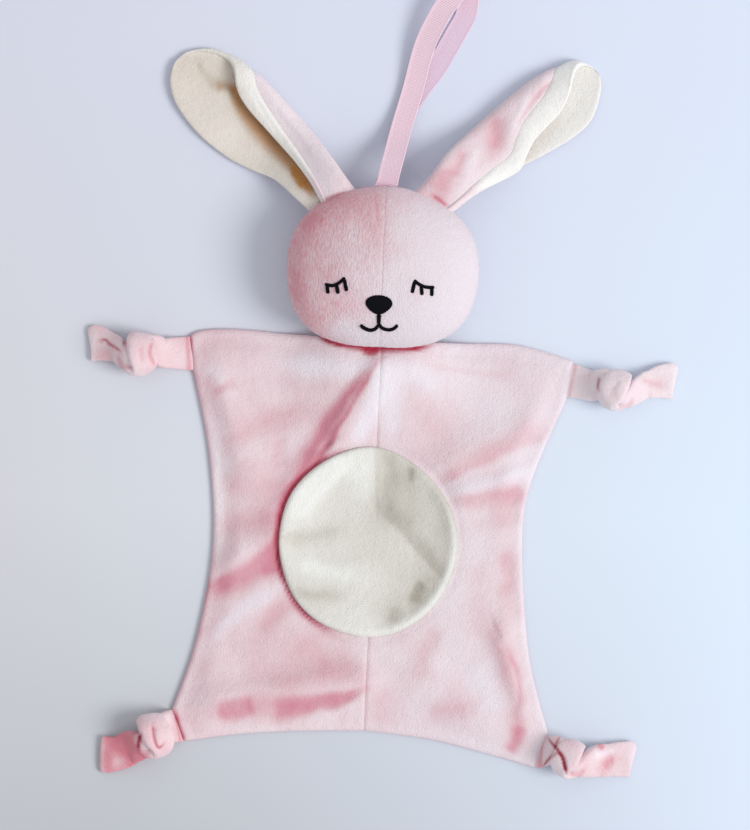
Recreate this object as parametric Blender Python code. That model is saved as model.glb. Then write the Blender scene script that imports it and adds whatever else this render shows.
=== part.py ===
"""Comfort blanket lovey: a stuffed bunny head on a flat plush blanket with knotted corners.

The toy lies on its back, face up. +Z is up, +Y points to the head and +X to the viewer's right.
The origin is on the underside of the back panel, below the middle of the belly patch. Left and
right are the viewer's. All lengths are metres.
"""

import math

import bmesh
import bpy
from mathutils import Vector
from mathutils.geometry import tessellate_polygon

MM = 0.001

# Cloth and seams
FABRIC = 1.4 * MM
SEAM_GAP = 0.3 * MM
REST_GAP = 0.1 * MM

# Blanket: half of its width at the shoulders, and half of its length from the neck to the hem
BLANKET_HALF_WIDTH = 115.5 * MM
BLANKET_HALF_LENGTH = 122 * MM
EDGE_ROLL = 18 * MM
PUFF_HEIGHT = 2.6 * MM

# The blanket's four edges, as shares of its half width and half length. Each side edge begins and
# ends with the straight seam that holds a limb.
LEFT_EDGE_SHARES = (
    (-0.937, -1.005),
    (-1.002, -0.851),
    (-0.894, -0.506),
    (-0.829, -0.04),
    (-0.869, 0.406),
    (-0.973, 0.82),
    (-1.002, 0.986),
)
RIGHT_EDGE_SHARES = (
    (0.89, -1.055),
    (0.955, -0.884),
    (0.835, -0.496),
    (0.776, 0.05),
    (0.81, 0.35),
    (0.97, 0.756),
    (0.997, 0.948),
)
TOP_LEFT_EDGE_SHARES = ((-1.002, 0.986), (-0.93, 1.018), (-0.75, 1.03), (-0.45, 1.017), (0, 1.006))
TOP_RIGHT_EDGE_SHARES = ((0.997, 0.948), (0.8, 0.998), (0.65, 1.017), (0.4, 1.01), (0, 1.006))
BOTTOM_LEFT_EDGE_SHARES = ((-0.937, -1.005), (-0.65, -0.958), (-0.38, -0.932), (0, -0.912))
BOTTOM_RIGHT_EDGE_SHARES = ((0.89, -1.055), (0.61, -0.993), (0.333, -0.94), (0, -0.912))

# Neck: how far the lifted cloth runs down from the head and to its sides
NECK_FLAT_HALF_WIDTH = 16 * MM
NECK_FADE_HALF_WIDTH = 62 * MM
NECK_FADE_LENGTH = 74 * MM

# Folds of the front panel: each ridge runs from one place to another, both as shares of the
# half width and half length, with its height, its steep side and its gentle side as shares
FOLD_HEIGHT = 6 * MM
FOLD_WIDTH = 15 * MM
FOLD_SHARES = (
    ((0.02, 0.93), (-0.23, 0.5), 0.95, 0.42, 1.0),
    ((-0.23, 0.5), (-0.4, 0.34), 0.8, 0.36, 0.9),
    ((-0.52, 0.0), (-0.8, -0.12), 0.7, 1.0, 0.6),
    ((0.42, 0.42), (0.86, 0.62), 0.62, 0.6, 0.9),
    ((0.47, 0.27), (0.78, 0.36), 0.5, 0.55, 0.7),
    ((-0.76, -0.8), (-0.04, -0.66), 0.62, 0.8, 0.7),
    ((0.7, -0.45), (0.84, -0.74), 0.5, 0.5, 0.8),
    ((-0.66, 0.36), (-0.84, 0.7), 0.45, 0.8, 1.0),
    ((0.3, -0.62), (0.6, -0.86), 0.35, 0.9, 0.9),
)

# Belly patch
PATCH_WIDTH = 107.5 * MM
PATCH_LENGTH = 114 * MM
PATCH_X = -2.3 * MM
PATCH_Y = 1.1 * MM

# Head: its seam is the level of its widest outline
HEAD_WIDTH = 114.6 * MM
HEAD_LENGTH = 96.6 * MM
HEAD_X = -1.4 * MM
HEAD_OVERLAP = 4.5 * MM
HEAD_FRONT_DEPTH = 30 * MM
HEAD_BACK_DEPTH = 24.5 * MM
HEAD_FLAT_DEPTH = 0.5 * MM
CROWN_EXPONENT = 1.95
CHIN_EXPONENT = 2.85

# Face: embroidered shapes, measured from the face's own middle line
THREAD_WIDTH = 1.9 * MM
THREAD_HEIGHT = 0.8 * MM
THREAD_LIFT = 0.45 * MM
FACE_SHIFT = -1.2 * MM
EYE_SPACING = 51.8 * MM
EYE_DROP = 11 * MM
EYE_WIDTH = 12.6 * MM
EYE_RISE = 4 * MM
LASH_LENGTH = 7 * MM
NOSE_WIDTH = 16.2 * MM
NOSE_HEIGHT = 11.4 * MM
NOSE_DROP = 23.4 * MM
PHILTRUM_LENGTH = 4.4 * MM
MOUTH_WIDTH = 21.8 * MM
MOUTH_DIP = 3.6 * MM
LID_SHARES = ((-0.5, 0.0), (-0.12, 0.08), (0.14, 0.42), (0.5, 1.0))
LASH_SHARES = (-0.42, 0.06, 0.46)

# Ears: the length along each ear, the cloth's own width, and the height of the fold in it
EAR_WIDTH = 50 * MM
EAR_FOLD_HEIGHT = 8 * MM
EAR_DISH = 1.6 * MM
EAR_DROOP_LENGTH = 52 * MM
EAR_HINGE_OUT = 1.5 * MM
LEFT_EAR_LENGTH = 124 * MM
LEFT_EAR_BASE_X = -33.3 * MM
LEFT_EAR_BASE_Y = 39 * MM
LEFT_EAR_HEADING = math.radians(134.5)
RIGHT_EAR_LENGTH = 120 * MM
RIGHT_EAR_BASE_X = 32.7 * MM
RIGHT_EAR_BASE_Y = 44 * MM
RIGHT_EAR_HEADING = math.radians(40.6)

# Along each ear: the share of its length, then the lobe's edge, the folded edge and the flap's free
# edge as shares of EAR_WIDTH, the fold's height share, and how far it turns over as a share of 180 degrees
LEFT_EAR_SHARES = (
    (-0.07, -0.262, 0.262, -0.14, 0.62, 1.0),
    (0.0, -0.272, 0.272, -0.15, 0.62, 1.0),
    (0.12, -0.30, 0.306, -0.146, 0.7, 1.0),
    (0.25, -0.336, 0.336, -0.084, 0.85, 1.0),
    (0.36, -0.46, 0.346, -0.064, 1.0, 1.0),
    (0.47, -0.566, 0.348, -0.052, 1.0, 1.0),
    (0.6, -0.632, 0.342, -0.012, 0.95, 1.0),
    (0.71, -0.648, 0.32, 0.064, 0.85, 0.95),
    (0.84, -0.61, 0.24, 0.14, 0.7, 0.75),
    (0.93, -0.51, 0.12, 0.06, 0.55, 0.5),
    (0.98, -0.38, -0.03, -0.06, 0.42, 0.3),
    (1.0, -0.28, -0.13, -0.15, 0.3, 0.2),
)
RIGHT_EAR_SHARES = (
    (-0.1, -0.18, 0.19, -0.12, 0.6, 1.0),
    (0.0, -0.186, 0.22, -0.14, 0.62, 1.0),
    (0.17, -0.196, 0.326, -0.16, 0.75, 1.0),
    (0.39, -0.30, 0.376, -0.19, 0.95, 1.0),
    (0.56, -0.378, 0.394, -0.112, 1.0, 1.0),
    (0.71, -0.42, 0.392, -0.07, 0.95, 1.0),
    (0.83, -0.39, 0.35, 0.0, 0.8, 0.9),
    (0.95, -0.2, 0.25, 0.1, 0.6, 0.6),
    (1.0, -0.04, 0.08, 0.05, 0.35, 0.3),
)

# Knotted limbs: a strap turns in its seam, runs through the knot and ends in a loose tail
STRAP_WIDTH = 22 * MM
STRAP_THICKNESS = 2.8 * MM
KNOT_FLAT_DEPTH = 0.5 * MM
KNOT_LENGTH = 24 * MM
KNOT_HEIGHT = 21 * MM
ARM_TAB_LENGTH = 17 * MM
LEG_TAB_LENGTH = 2.5 * MM
LEFT_ARM_TAIL_LENGTH = 17 * MM
LEFT_ARM_KNOT_ASIDE = -2.5 * MM
LEFT_ARM_TAIL_ASIDE = -13 * MM
RIGHT_ARM_TAIL_LENGTH = 20 * MM
RIGHT_ARM_KNOT_ASIDE = 0.1 * MM
RIGHT_ARM_TAIL_ASIDE = 10.6 * MM
LEFT_LEG_TAIL_LENGTH = 24 * MM
LEFT_LEG_KNOT_ASIDE = 2.8 * MM
LEFT_LEG_TAIL_ASIDE = 0.2 * MM
RIGHT_LEG_TAIL_LENGTH = 26 * MM
RIGHT_LEG_KNOT_ASIDE = 1.4 * MM
RIGHT_LEG_TAIL_ASIDE = 16.7 * MM

# Across each stretch of a limb: the share of that stretch, the width as a share of STRAP_WIDTH and
# the height as a share of KNOT_HEIGHT
TAB_WIDTH_SHARE = 0.92
TAB_SHARES = ((0.35, 0.86, 0.14), (0.7, 0.82, 0.19), (1.0, 0.82, 0.36))
KNOT_SHARES = ((0.2, 1.05, 0.78), (0.5, 1.22, 1.0), (0.8, 1.02, 0.78), (1.0, 0.66, 0.4))
TAIL_SHARES = ((0.3, 0.74, 0.32), (0.65, 0.95, 0.3), (0.94, 1.04, 0.24), (1.0, 0.98, 0.14))

# Ribbon loop: its reach from the crown, and its route as shares of that reach, with the direction in
# which its width lies, in degrees from the row's +X. Where both strands lie in the seam, the last
# column stacks them: 1 for the upper strand and -1 for the lower one
RIBBON_WIDTH = 12.6 * MM
RIBBON_THICKNESS = 0.8 * MM
RIBBON_STRAND_GAP = 0.1 * MM
RIBBON_REACH = 126 * MM
RIBBON_HINGE_OUT = 2.2 * MM
RIBBON_ROUTE_SHARES = (
    (-0.012, -0.05, 0, -11, 1),
    (0.002, 0.012, 0, -11, 1),
    (0.009, 0.05, -0.006, -11, 0),
    (0.023, 0.12, -0.045, -11, 0),
    (0.058, 0.28, -0.138, -12, 0),
    (0.105, 0.47, -0.16, -13, 0),
    (0.152, 0.68, -0.13, -16, 0),
    (0.217, 0.83, -0.1, -28, 0),
    (0.262, 0.9, -0.093, -32, 0),
    (0.31, 0.97, -0.104, -28, 0),
    (0.338, 0.995, -0.138, -22, 0),
    (0.35, 0.965, -0.172, -14, 0),
    (0.35, 0.9, -0.183, -9, 0),
    (0.339, 0.83, -0.1855, -14, 0),
    (0.3, 0.75, -0.186, -27, 0),
    (0.217, 0.59, -0.186, -33, 0),
    (0.14, 0.475, -0.185, -31, 0),
    (0.08, 0.37, -0.177, -20, 0),
    (0.056, 0.27, -0.153, -13, 0),
    (0.024, 0.12, -0.062, -11, 0),
    (0.009, 0.05, -0.02, -11, 0),
    (0.002, 0.012, 0, -11, -1),
    (-0.012, -0.05, 0, -11, -1),
)

# How finely each form is divided
SIDE_ROWS = 24
SEAM_ROWS = 2
HALF_COLUMNS = 11
BACK_ROW_STEP = 4
PATCH_SIDES = 40
HEAD_ROWS = 18
HEAD_QUARTER = 7
EAR_ROWS = 15
EAR_RUN_STEPS = 4
EAR_TURN_STEPS = 5
EAR_FLAP_STEPS = 2
LIMB_END_STEPS = 3
LIMB_ROWS_PER_STEP = 2
LIMB_SIDES = 14
RIBBON_STEPS = 3

# Places worked out from the sizes above
BLANKET_EDGE_HEIGHT = 2 * FABRIC + SEAM_GAP
LIMB_HINGE_Z = BLANKET_EDGE_HEIGHT / 2
LIMB_HINGE_OUT = STRAP_THICKNESS / 2 + SEAM_GAP
NECK_Y = TOP_LEFT_EDGE_SHARES[-1][1] * BLANKET_HALF_LENGTH
HEAD_Y = NECK_Y - HEAD_OVERLAP + HEAD_LENGTH / 2
HEAD_SEAM_Z = HEAD_BACK_DEPTH - HEAD_FLAT_DEPTH
CUT_OVERRUN = 2 * HEAD_BACK_DEPTH


def srgb(red, green, blue):
    """A colour written as 0 to 255 display values, as the linear values that a shader takes."""
    return tuple(((c / 255 + 0.055) / 1.055) ** 2.4 for c in (red, green, blue)) + (1.0,)


def make_material(name, colour, roughness):
    """A plain Principled material."""
    material = bpy.data.materials.new(name)
    material.use_nodes = True
    shader = material.node_tree.nodes["Principled BSDF"]
    shader.inputs["Base Color"].default_value = colour
    shader.inputs["Roughness"].default_value = roughness
    shader.inputs["Metallic"].default_value = 0.0
    return material


def smoothstep(value):
    """0 below 0, 1 above 1, and a smooth rise between."""
    t = min(max(value, 0.0), 1.0)
    return t * t * (3 - 2 * t)


def smooth_values(rows, position):
    """The table's row at a position counted in rows, on a smooth curve through all the rows."""
    index = min(int(position), len(rows) - 2)
    t = position - index
    before, start, end, after = (rows[min(max(index + k, 0), len(rows) - 1)] for k in (-1, 0, 1, 2))
    return tuple(
        b + 0.5 * t * (c - a + t * (2 * a - 5 * b + 4 * c - d + t * (3 * (b - c) + d - a)))
        for a, b, c, d in zip(before, start, end, after, strict=True)
    )


def row_at(rows, value):
    """The table's row whose first column has this value, on the smooth curve through all the rows."""
    low, high = 0.0, len(rows) - 1.0
    for _ in range(40):
        middle = (low + high) / 2
        if smooth_values(rows, middle)[0] < value:
            low = middle
        else:
            high = middle
    return smooth_values(rows, low)


def scaled(shares):
    """Places on the blanket, from shares of its half width and half length."""
    return [Vector((x * BLANKET_HALF_WIDTH, y * BLANKET_HALF_LENGTH, 0)) for x, y in shares]


def evenly(points, steps):
    """Places spread at equal spacing along the smooth curve through the points."""
    fine = [Vector(smooth_values(points, k * (len(points) - 1) / 200)) for k in range(201)]
    along = [0.0]
    for a, b in zip(fine, fine[1:]):
        along.append(along[-1] + (b - a).length)
    placed = []
    index = 0
    for k in range(steps + 1):
        target = along[-1] * k / steps
        while index < len(fine) - 2 and along[index + 1] < target:
            index += 1
        share = (target - along[index]) / (along[index + 1] - along[index])
        placed.append(fine[index].lerp(fine[index + 1], min(max(share, 0.0), 1.0)))
    return placed


def finish(mesh_builder, name, material):
    """Turns a bmesh into a named object with outward faces and its own material."""
    bmesh.ops.remove_doubles(mesh_builder, verts=mesh_builder.verts, dist=SEAM_GAP / 100)
    bmesh.ops.recalc_face_normals(mesh_builder, faces=mesh_builder.faces)
    mesh = bpy.data.meshes.new(name)
    mesh_builder.to_mesh(mesh)
    mesh_builder.free()
    mesh.shade_smooth()
    mesh.set_sharp_from_angle(angle=math.radians(50))
    item = bpy.data.objects.new(name, mesh)
    bpy.context.scene.collection.objects.link(item)
    if material is not None:
        mesh.materials.append(material)
    return item


def layer(name, above, below, material, turn_column=None):
    """A closed sheet of cloth between two grids of places that have the same rows and columns.

    From turn_column on, each cell is divided along its other diagonal.
    """
    builder = bmesh.new()
    grids = [[[builder.verts.new(p) for p in row] for row in grid] for grid in (above, below)]
    rows, columns = len(above), len(above[0])
    for i in range(rows - 1):
        for j in range(columns - 1):
            turned = turn_column is not None and j >= turn_column
            for grid in grids:
                corners = [grid[i][j], grid[i][j + 1], grid[i + 1][j + 1], grid[i + 1][j]]
                if turned:
                    corners = corners[1:] + corners[:1]
                builder.faces.new((corners[0], corners[1], corners[2]))
                builder.faces.new((corners[0], corners[2], corners[3]))
    border = [(0, j) for j in range(columns)]
    border += [(i, columns - 1) for i in range(1, rows)]
    border += [(rows - 1, j) for j in range(columns - 2, -1, -1)]
    border += [(i, 0) for i in range(rows - 2, 0, -1)]
    for (i, j), (k, m) in zip(border, border[1:] + border[:1]):
        builder.faces.new((grids[0][i][j], grids[0][k][m], grids[1][k][m], grids[1][i][j]))
    return finish(builder, name, material)


def loft(name, rings, material):
    """A closed solid through rings of places, with its two ends filled."""
    builder = bmesh.new()
    loops = [[builder.verts.new(p) for p in ring] for ring in rings]
    for first, second in zip(loops, loops[1:]):
        for j in range(len(first)):
            k = (j + 1) % len(first)
            builder.faces.new((first[j], first[k], second[k], second[j]))
    builder.faces.new(loops[0])
    builder.faces.new(loops[-1])
    return finish(builder, name, material)


def pivot_at(name, place, axis, items, parent=None):
    """An empty on a joint's axis, with its own X along the axis, that carries the pieces that turn."""
    pivot = bpy.data.objects.new(name, None)
    bpy.context.scene.collection.objects.link(pivot)
    pivot.location = place
    pivot.rotation_euler.z = math.atan2(axis.y, axis.x)
    pivot.empty_display_size = STRAP_WIDTH
    if parent is not None:
        attach(pivot, parent)
    for item in items:
        attach(item, pivot)
    return pivot


def attach(item, parent):
    """Parents an object without moving it."""
    bpy.context.view_layer.update()
    item.parent = parent
    item.matrix_parent_inverse = parent.matrix_world.inverted()


def cut(item, cutter, operation="DIFFERENCE"):
    """Adds an exact Boolean with a cutter that isn't part of the object."""
    cutter.hide_render = True
    cutter.display_type = "WIRE"
    boolean = item.modifiers.new("seam", "BOOLEAN")
    boolean.operation = operation
    boolean.solver = "EXACT"
    boolean.object = cutter


# The head


def head_point(across, along, out, inset, depth):
    """A place on the head, from a unit direction and how far inside the outer surface it lies.

    The outline is nearly an ellipse at the crown and squarer at the chin.
    """
    radius = math.hypot(across, along)
    level = HEAD_SEAM_Z + (depth - inset) * out
    if radius < 1e-9:
        return Vector((HEAD_X, HEAD_Y, level))
    cosine, sine = across / radius, along / radius
    exponent = CROWN_EXPONENT + (CHIN_EXPONENT - CROWN_EXPONENT) * (1 - sine) / 2
    half_width, half_length = HEAD_WIDTH / 2 - inset, HEAD_LENGTH / 2 - inset
    x_part = (abs(cosine) / half_width) ** exponent
    y_part = (abs(sine) / half_length) ** exponent
    reach = radius * (x_part + y_part) ** (-1 / exponent)
    return Vector((HEAD_X + reach * cosine, HEAD_Y + reach * sine, level))


def head_grid(first, last, inset):
    """Rows of places from the crown to the chin, between two quarter counts round the head.

    Quarter 0 is the left side, 1 the middle of the face, 2 the right side and 3 the back.
    """
    rows = []
    for i in range(HEAD_ROWS + 1):
        crown_angle = math.pi * i / HEAD_ROWS
        row = []
        for j in range((last - first) * HEAD_QUARTER + 1):
            turn = math.pi / 2 * (first - 1 + j / HEAD_QUARTER)
            across = math.sin(crown_angle) * math.sin(turn)
            out = math.sin(crown_angle) * math.cos(turn)
            depth = HEAD_FRONT_DEPTH if out > 0 else HEAD_BACK_DEPTH
            place = head_point(across, math.cos(crown_angle), out, inset, depth)
            place.z = max(place.z, inset)
            row.append(place)
        rows.append(row)
    return rows


def shifted(grid, offset):
    """The same grid of places, moved."""
    return [[place + offset for place in row] for row in grid]


def head_panel(name, first, last, offset, material):
    """A panel of the head's plush cover, moved off its seams."""
    outside = shifted(head_grid(first, last, 0), offset)
    inside = shifted(head_grid(first, last, FABRIC), offset)
    return layer(name, outside, inside, material)


def head_ball(name, inset, material):
    """The head's whole form as one closed solid."""
    builder = bmesh.new()
    rows = head_grid(0, 4, inset)
    loops = [[builder.verts.new(p) for p in row[:-1]] for row in rows]
    for upper, lower in zip(loops, loops[1:]):
        for j in range(len(upper)):
            k = (j + 1) % len(upper)
            builder.faces.new((upper[j], upper[k], lower[k], lower[j]))
    return finish(builder, name, material)


def make_head(pink, fibre, thread):
    """Face panels, back panel, fibre and embroidery, which all turn on the neck seam."""
    half_gap = SEAM_GAP / 2
    pieces = [
        head_panel("head_front_left", 0, 1, Vector((-half_gap, 0, half_gap)), pink),
        head_panel("head_front_right", 1, 2, Vector((half_gap, 0, half_gap)), pink),
        head_panel("head_back", 2, 4, Vector((0, 0, 0)), pink),
        head_ball("head_stuffing", FABRIC + SEAM_GAP, fibre),
    ]
    pieces += make_face(thread)
    hinge = Vector((HEAD_X, NECK_Y, neck_underside() - SEAM_GAP - FABRIC / 2))
    return pivot_at("neck_hinge", hinge, Vector((1, 0, 0)), pieces)


def face_place(x, y, lift):
    """A place over the face at an offset from the head's middle, lifted off the plush."""

    def point(px, py):
        radius = math.hypot(px, py)
        if radius < 1e-9:
            return Vector((HEAD_X, HEAD_Y, HEAD_SEAM_Z + HEAD_FRONT_DEPTH))
        edge = head_point(px / radius, py / radius, 0, 0, HEAD_FRONT_DEPTH)
        full = (edge - Vector((HEAD_X, HEAD_Y, HEAD_SEAM_Z))).length
        out = math.sqrt(max(1 - (radius / full) ** 2, 0.0))
        return Vector((HEAD_X + px, HEAD_Y + py, HEAD_SEAM_Z + HEAD_FRONT_DEPTH * out))

    step = THREAD_WIDTH / 10
    normal = (point(x + step, y) - point(x - step, y)).cross(point(x, y + step) - point(x, y - step))
    return point(x, y) + normal.normalized() * lift


def embroidery(name, outline, thread):
    """A flat stitched shape that follows the face, from its outline."""
    builder = bmesh.new()
    lower = [builder.verts.new(face_place(x, y, THREAD_LIFT)) for x, y in outline]
    upper = [builder.verts.new(face_place(x, y, THREAD_LIFT + THREAD_HEIGHT)) for x, y in outline]
    for triangle in tessellate_polygon([[Vector((x, y, 0)) for x, y in outline]]):
        builder.faces.new([lower[i] for i in triangle])
        builder.faces.new([upper[i] for i in triangle])
    for i in range(len(outline)):
        k = (i + 1) % len(outline)
        builder.faces.new((lower[i], lower[k], upper[k], upper[i]))
    return finish(builder, name, thread)


def eye_outline(middle_x, side):
    """The lid's band with three lashes below it. It rises towards the nose."""
    half = THREAD_WIDTH / 2

    def lid_y(share):
        return EYE_RISE * row_at(LID_SHARES, share)[1]

    def place(share, drop):
        return (middle_x + side * share * EYE_WIDTH, lid_y(share) - EYE_DROP - drop)

    thin = half / EYE_WIDTH
    upper = [place(share, -half) for share, _ in LID_SHARES]
    lower = []
    for share in reversed(LASH_SHARES):
        lower += [place(share + thin, half), place(share + thin * 0.9, LASH_LENGTH)]
        lower += [place(share - thin * 0.9, LASH_LENGTH), place(share - thin, half)]
    return upper + lower


def nose_outline():
    """A rounded triangle, wide at the top."""
    steps = 20
    points = []
    for k in range(steps):
        angle = 2 * math.pi * k / steps
        height = math.sin(angle)
        width = math.cos(angle) * (0.78 + 0.22 * height if height > 0 else 0.78 + 0.5 * height)
        points.append((FACE_SHIFT + NOSE_WIDTH * 0.62 * width, NOSE_HEIGHT / 2 * height - NOSE_DROP))
    return points


def mouth_outline():
    """A stem below the nose that parts into two upturned curves, all of one thread width."""
    half = THREAD_WIDTH / 2
    reach = MOUTH_WIDTH / 4
    top = -NOSE_DROP - NOSE_HEIGHT / 2 - SEAM_GAP
    fork = top - PHILTRUM_LENGTH
    steps = 6

    def arc(side, offset, order):
        points = []
        for k in order:
            angle = math.pi * k / steps
            x = side * (reach - (reach + offset) * math.cos(angle))
            points.append((FACE_SHIFT + x, fork - (MOUTH_DIP + offset) * math.sin(angle)))
        return points

    left = arc(-1, -half, range(1, steps + 1)) + arc(-1, half, range(steps, 1, -1))
    right = arc(1, half, range(2, steps + 1)) + arc(1, -half, range(steps, 0, -1))
    meeting = (MOUTH_DIP + half) * math.sin(math.acos(reach / (reach + half)))
    stem_left = [(FACE_SHIFT - half, top), (FACE_SHIFT - half, fork)]
    stem_right = [(FACE_SHIFT + half, fork), (FACE_SHIFT + half, top)]
    return stem_left + left + [(FACE_SHIFT, fork - meeting)] + right + stem_right


def make_face(thread):
    """Eyes, nose and mouth."""
    left_x, right_x = FACE_SHIFT - EYE_SPACING / 2, FACE_SHIFT + EYE_SPACING / 2
    return [
        embroidery("left_eye", eye_outline(left_x, 1), thread),
        embroidery("right_eye", eye_outline(right_x, -1), thread),
        embroidery("nose", nose_outline(), thread),
        embroidery("mouth", mouth_outline(), thread),
    ]


# The blanket


def side_places(shares):
    """Places up one side: the leg's straight seam, the curved side and the arm's straight seam."""
    corners = scaled(shares)
    leg_seam = [corners[0].lerp(corners[1], k / SEAM_ROWS) for k in range(SEAM_ROWS)]
    arm_seam = [corners[-2].lerp(corners[-1], k / SEAM_ROWS) for k in range(1, SEAM_ROWS + 1)]
    return leg_seam + evenly(corners[1:-1], SIDE_ROWS) + arm_seam


def half_plan(side_shares, top_shares, bottom_shares):
    """Rows of places over one half of the blanket, from its side to the centre seam.

    Each place comes with its distances from the side, the hem and the neck edge.
    """
    side = side_places(side_shares)
    top = evenly(scaled(top_shares), HALF_COLUMNS)
    bottom = evenly(scaled(bottom_shares), HALF_COLUMNS)
    along = [0.0]
    for a, b in zip(side, side[1:]):
        along.append(along[-1] + (b - a).length)
    rows = []
    for i, side_place in enumerate(side):
        v = along[i] / along[-1]
        seam_place = bottom[-1].lerp(top[-1], v)
        row = []
        for j in range(HALF_COLUMNS + 1):
            u = j / HALF_COLUMNS
            place = bottom[j].lerp(top[j], v) + side_place.lerp(seam_place, u)
            place -= bottom[0].lerp(bottom[-1], u).lerp(top[0].lerp(top[-1], u), v)
            reach = u * (side_place - seam_place).length
            row.append((place, (reach, v * along[-1], (1 - v) * along[-1])))
        rows.append(row)
    return rows


def neck_lift(x, y):
    """How far the cloth is lifted off the table where it is sewn under the chin."""
    away = abs(x - HEAD_X) - NECK_FLAT_HALF_WIDTH
    across = 1 - smoothstep(away / (NECK_FADE_HALF_WIDTH - NECK_FLAT_HALF_WIDTH))
    down = 1 - smoothstep((NECK_Y - y) / NECK_FADE_LENGTH)
    return neck_height() * across * down


def neck_underside():
    """The level of the head's underside over the blanket's neck edge."""
    depth_share = 1 - HEAD_OVERLAP / (HEAD_LENGTH / 2)
    return HEAD_SEAM_Z - HEAD_BACK_DEPTH * math.sqrt(1 - depth_share**2)


def neck_height():
    """The lift at the neck edge, which brings the cloth up to the underside of the head."""
    return neck_underside() - BLANKET_EDGE_HEIGHT - SEAM_GAP


def fold_height(x, y):
    """The height of all the ridges at a place."""
    total = 0.0
    for start, end, high, steep, gentle in FOLD_SHARES:
        a, b = scaled((start, end))
        line = b - a
        offset = Vector((x, y, 0)) - a
        along = offset.dot(line) / line.length_squared
        nearest = min(max(along, 0.0), 1.0)
        away = (offset - line * nearest).length / FOLD_WIDTH
        side = steep if line.x * offset.y - line.y * offset.x < 0 else gentle
        total += FOLD_HEIGHT * high * math.exp(-((away / side) ** 2))
    return total


def front_height(place, distances):
    """The underside of the front panel at a place on the blanket."""
    inner = math.prod(smoothstep(distance / EDGE_ROLL) for distance in distances)
    rise = PUFF_HEIGHT + fold_height(place.x, place.y)
    return neck_lift(place.x, place.y) + FABRIC + SEAM_GAP + rise * inner


def raised(rows, bottom):
    """Rows of places at the heights that a function gives, and the same a fabric thickness higher."""
    below = [[Vector((p.x, p.y, bottom(p, d))) for p, d in row] for row in rows]
    above = [[p + Vector((0, 0, FABRIC)) for p in row] for row in below]
    return above, below


def joined(left_rows, right_rows):
    """Both halves as rows that run from the left side to the right side."""
    return [left + right[-2::-1] for left, right in zip(left_rows, right_rows, strict=True)]


def off_seam(rows, side):
    """The half's rows, with the last column moved off the centre seam."""
    moved = []
    for row in rows:
        place, distances = row[-1]
        moved.append(row[:-1] + [(place + Vector((side * SEAM_GAP / 2, 0, 0)), distances)])
    return moved


def make_blanket(pink, cream):
    """The back panel, both front panels and the belly patch."""
    left = half_plan(LEFT_EDGE_SHARES, TOP_LEFT_EDGE_SHARES, BOTTOM_LEFT_EDGE_SHARES)
    right = half_plan(RIGHT_EDGE_SHARES, TOP_RIGHT_EDGE_SHARES, BOTTOM_RIGHT_EDGE_SHARES)
    whole = joined(left, right)
    last = len(whole) - 1
    kept = sorted(set(range(0, last, BACK_ROW_STEP)) | {SEAM_ROWS, last - SEAM_ROWS, last})
    back = raised([whole[i] for i in kept], lambda p, d: neck_lift(p.x, p.y))
    layer("body_back", *back, pink, HALF_COLUMNS)
    layer("body_front_left", *raised(off_seam(left, -1), front_height), pink)
    layer("body_front_right", *raised(off_seam(right, 1), front_height), pink)
    make_patch(whole, cream)


def make_patch(whole, cream):
    """The round patch: a sheet laid on the front panels, trimmed to its outline."""
    near = [row for row in whole if abs(row[HALF_COLUMNS][0].y) < 0.75 * PATCH_LENGTH]
    step = FABRIC + SEAM_GAP
    above, below = raised(near, lambda p, d: front_height(p, d) + step)
    patch = layer("belly_patch", above, below, cream, HALF_COLUMNS)
    rings = []
    for level in (-CUT_OVERRUN, CUT_OVERRUN):
        ring = []
        for k in range(PATCH_SIDES):
            angle = 2 * math.pi * k / PATCH_SIDES
            x = PATCH_X + PATCH_WIDTH / 2 * math.cos(angle)
            y = PATCH_Y + PATCH_LENGTH / 2 * math.sin(angle)
            ring.append(Vector((x, y, level)))
        rings.append(ring)
    cut(patch, loft("patch_cutter", rings, None), "INTERSECT")


# The ears


def ear_profile(lobe, fold, free, height, turn):
    """The middle line across an ear: along the lobe, round the fold and back along the flap.

    Each place is given with the direction in which the lining lies.
    """
    radius = height / 2
    centre = Vector((fold - radius, radius))
    line = []
    for k in range(EAR_RUN_STEPS):
        share = k / EAR_RUN_STEPS
        place = Vector((lobe + (centre.x - lobe) * share, EAR_DISH * (1 - share) ** 2))
        line.append((place, Vector((0, 1))))
    for k in range(EAR_TURN_STEPS + 1):
        angle = turn * k / EAR_TURN_STEPS
        inward = Vector((-math.sin(angle), math.cos(angle)))
        line.append((centre - inward * radius, inward))
    heading = Vector((math.cos(turn), math.sin(turn)))
    end, inward = line[-1]
    length = max(centre.x - free, 0.0) * turn / math.pi
    for k in range(1, EAR_FLAP_STEPS + 1):
        line.append((end + heading * length * k / EAR_FLAP_STEPS, inward))
    return line


def ear_height(along, length):
    """The level of the ear's lobe: it droops from the head's seam to the table."""
    high = HEAD_SEAM_Z - EAR_FOLD_HEIGHT * 0.31
    low = FABRIC + SEAM_GAP / 2 + REST_GAP
    return low + (high - low) * (1 - smoothstep(along * length / EAR_DROOP_LENGTH))


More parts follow.
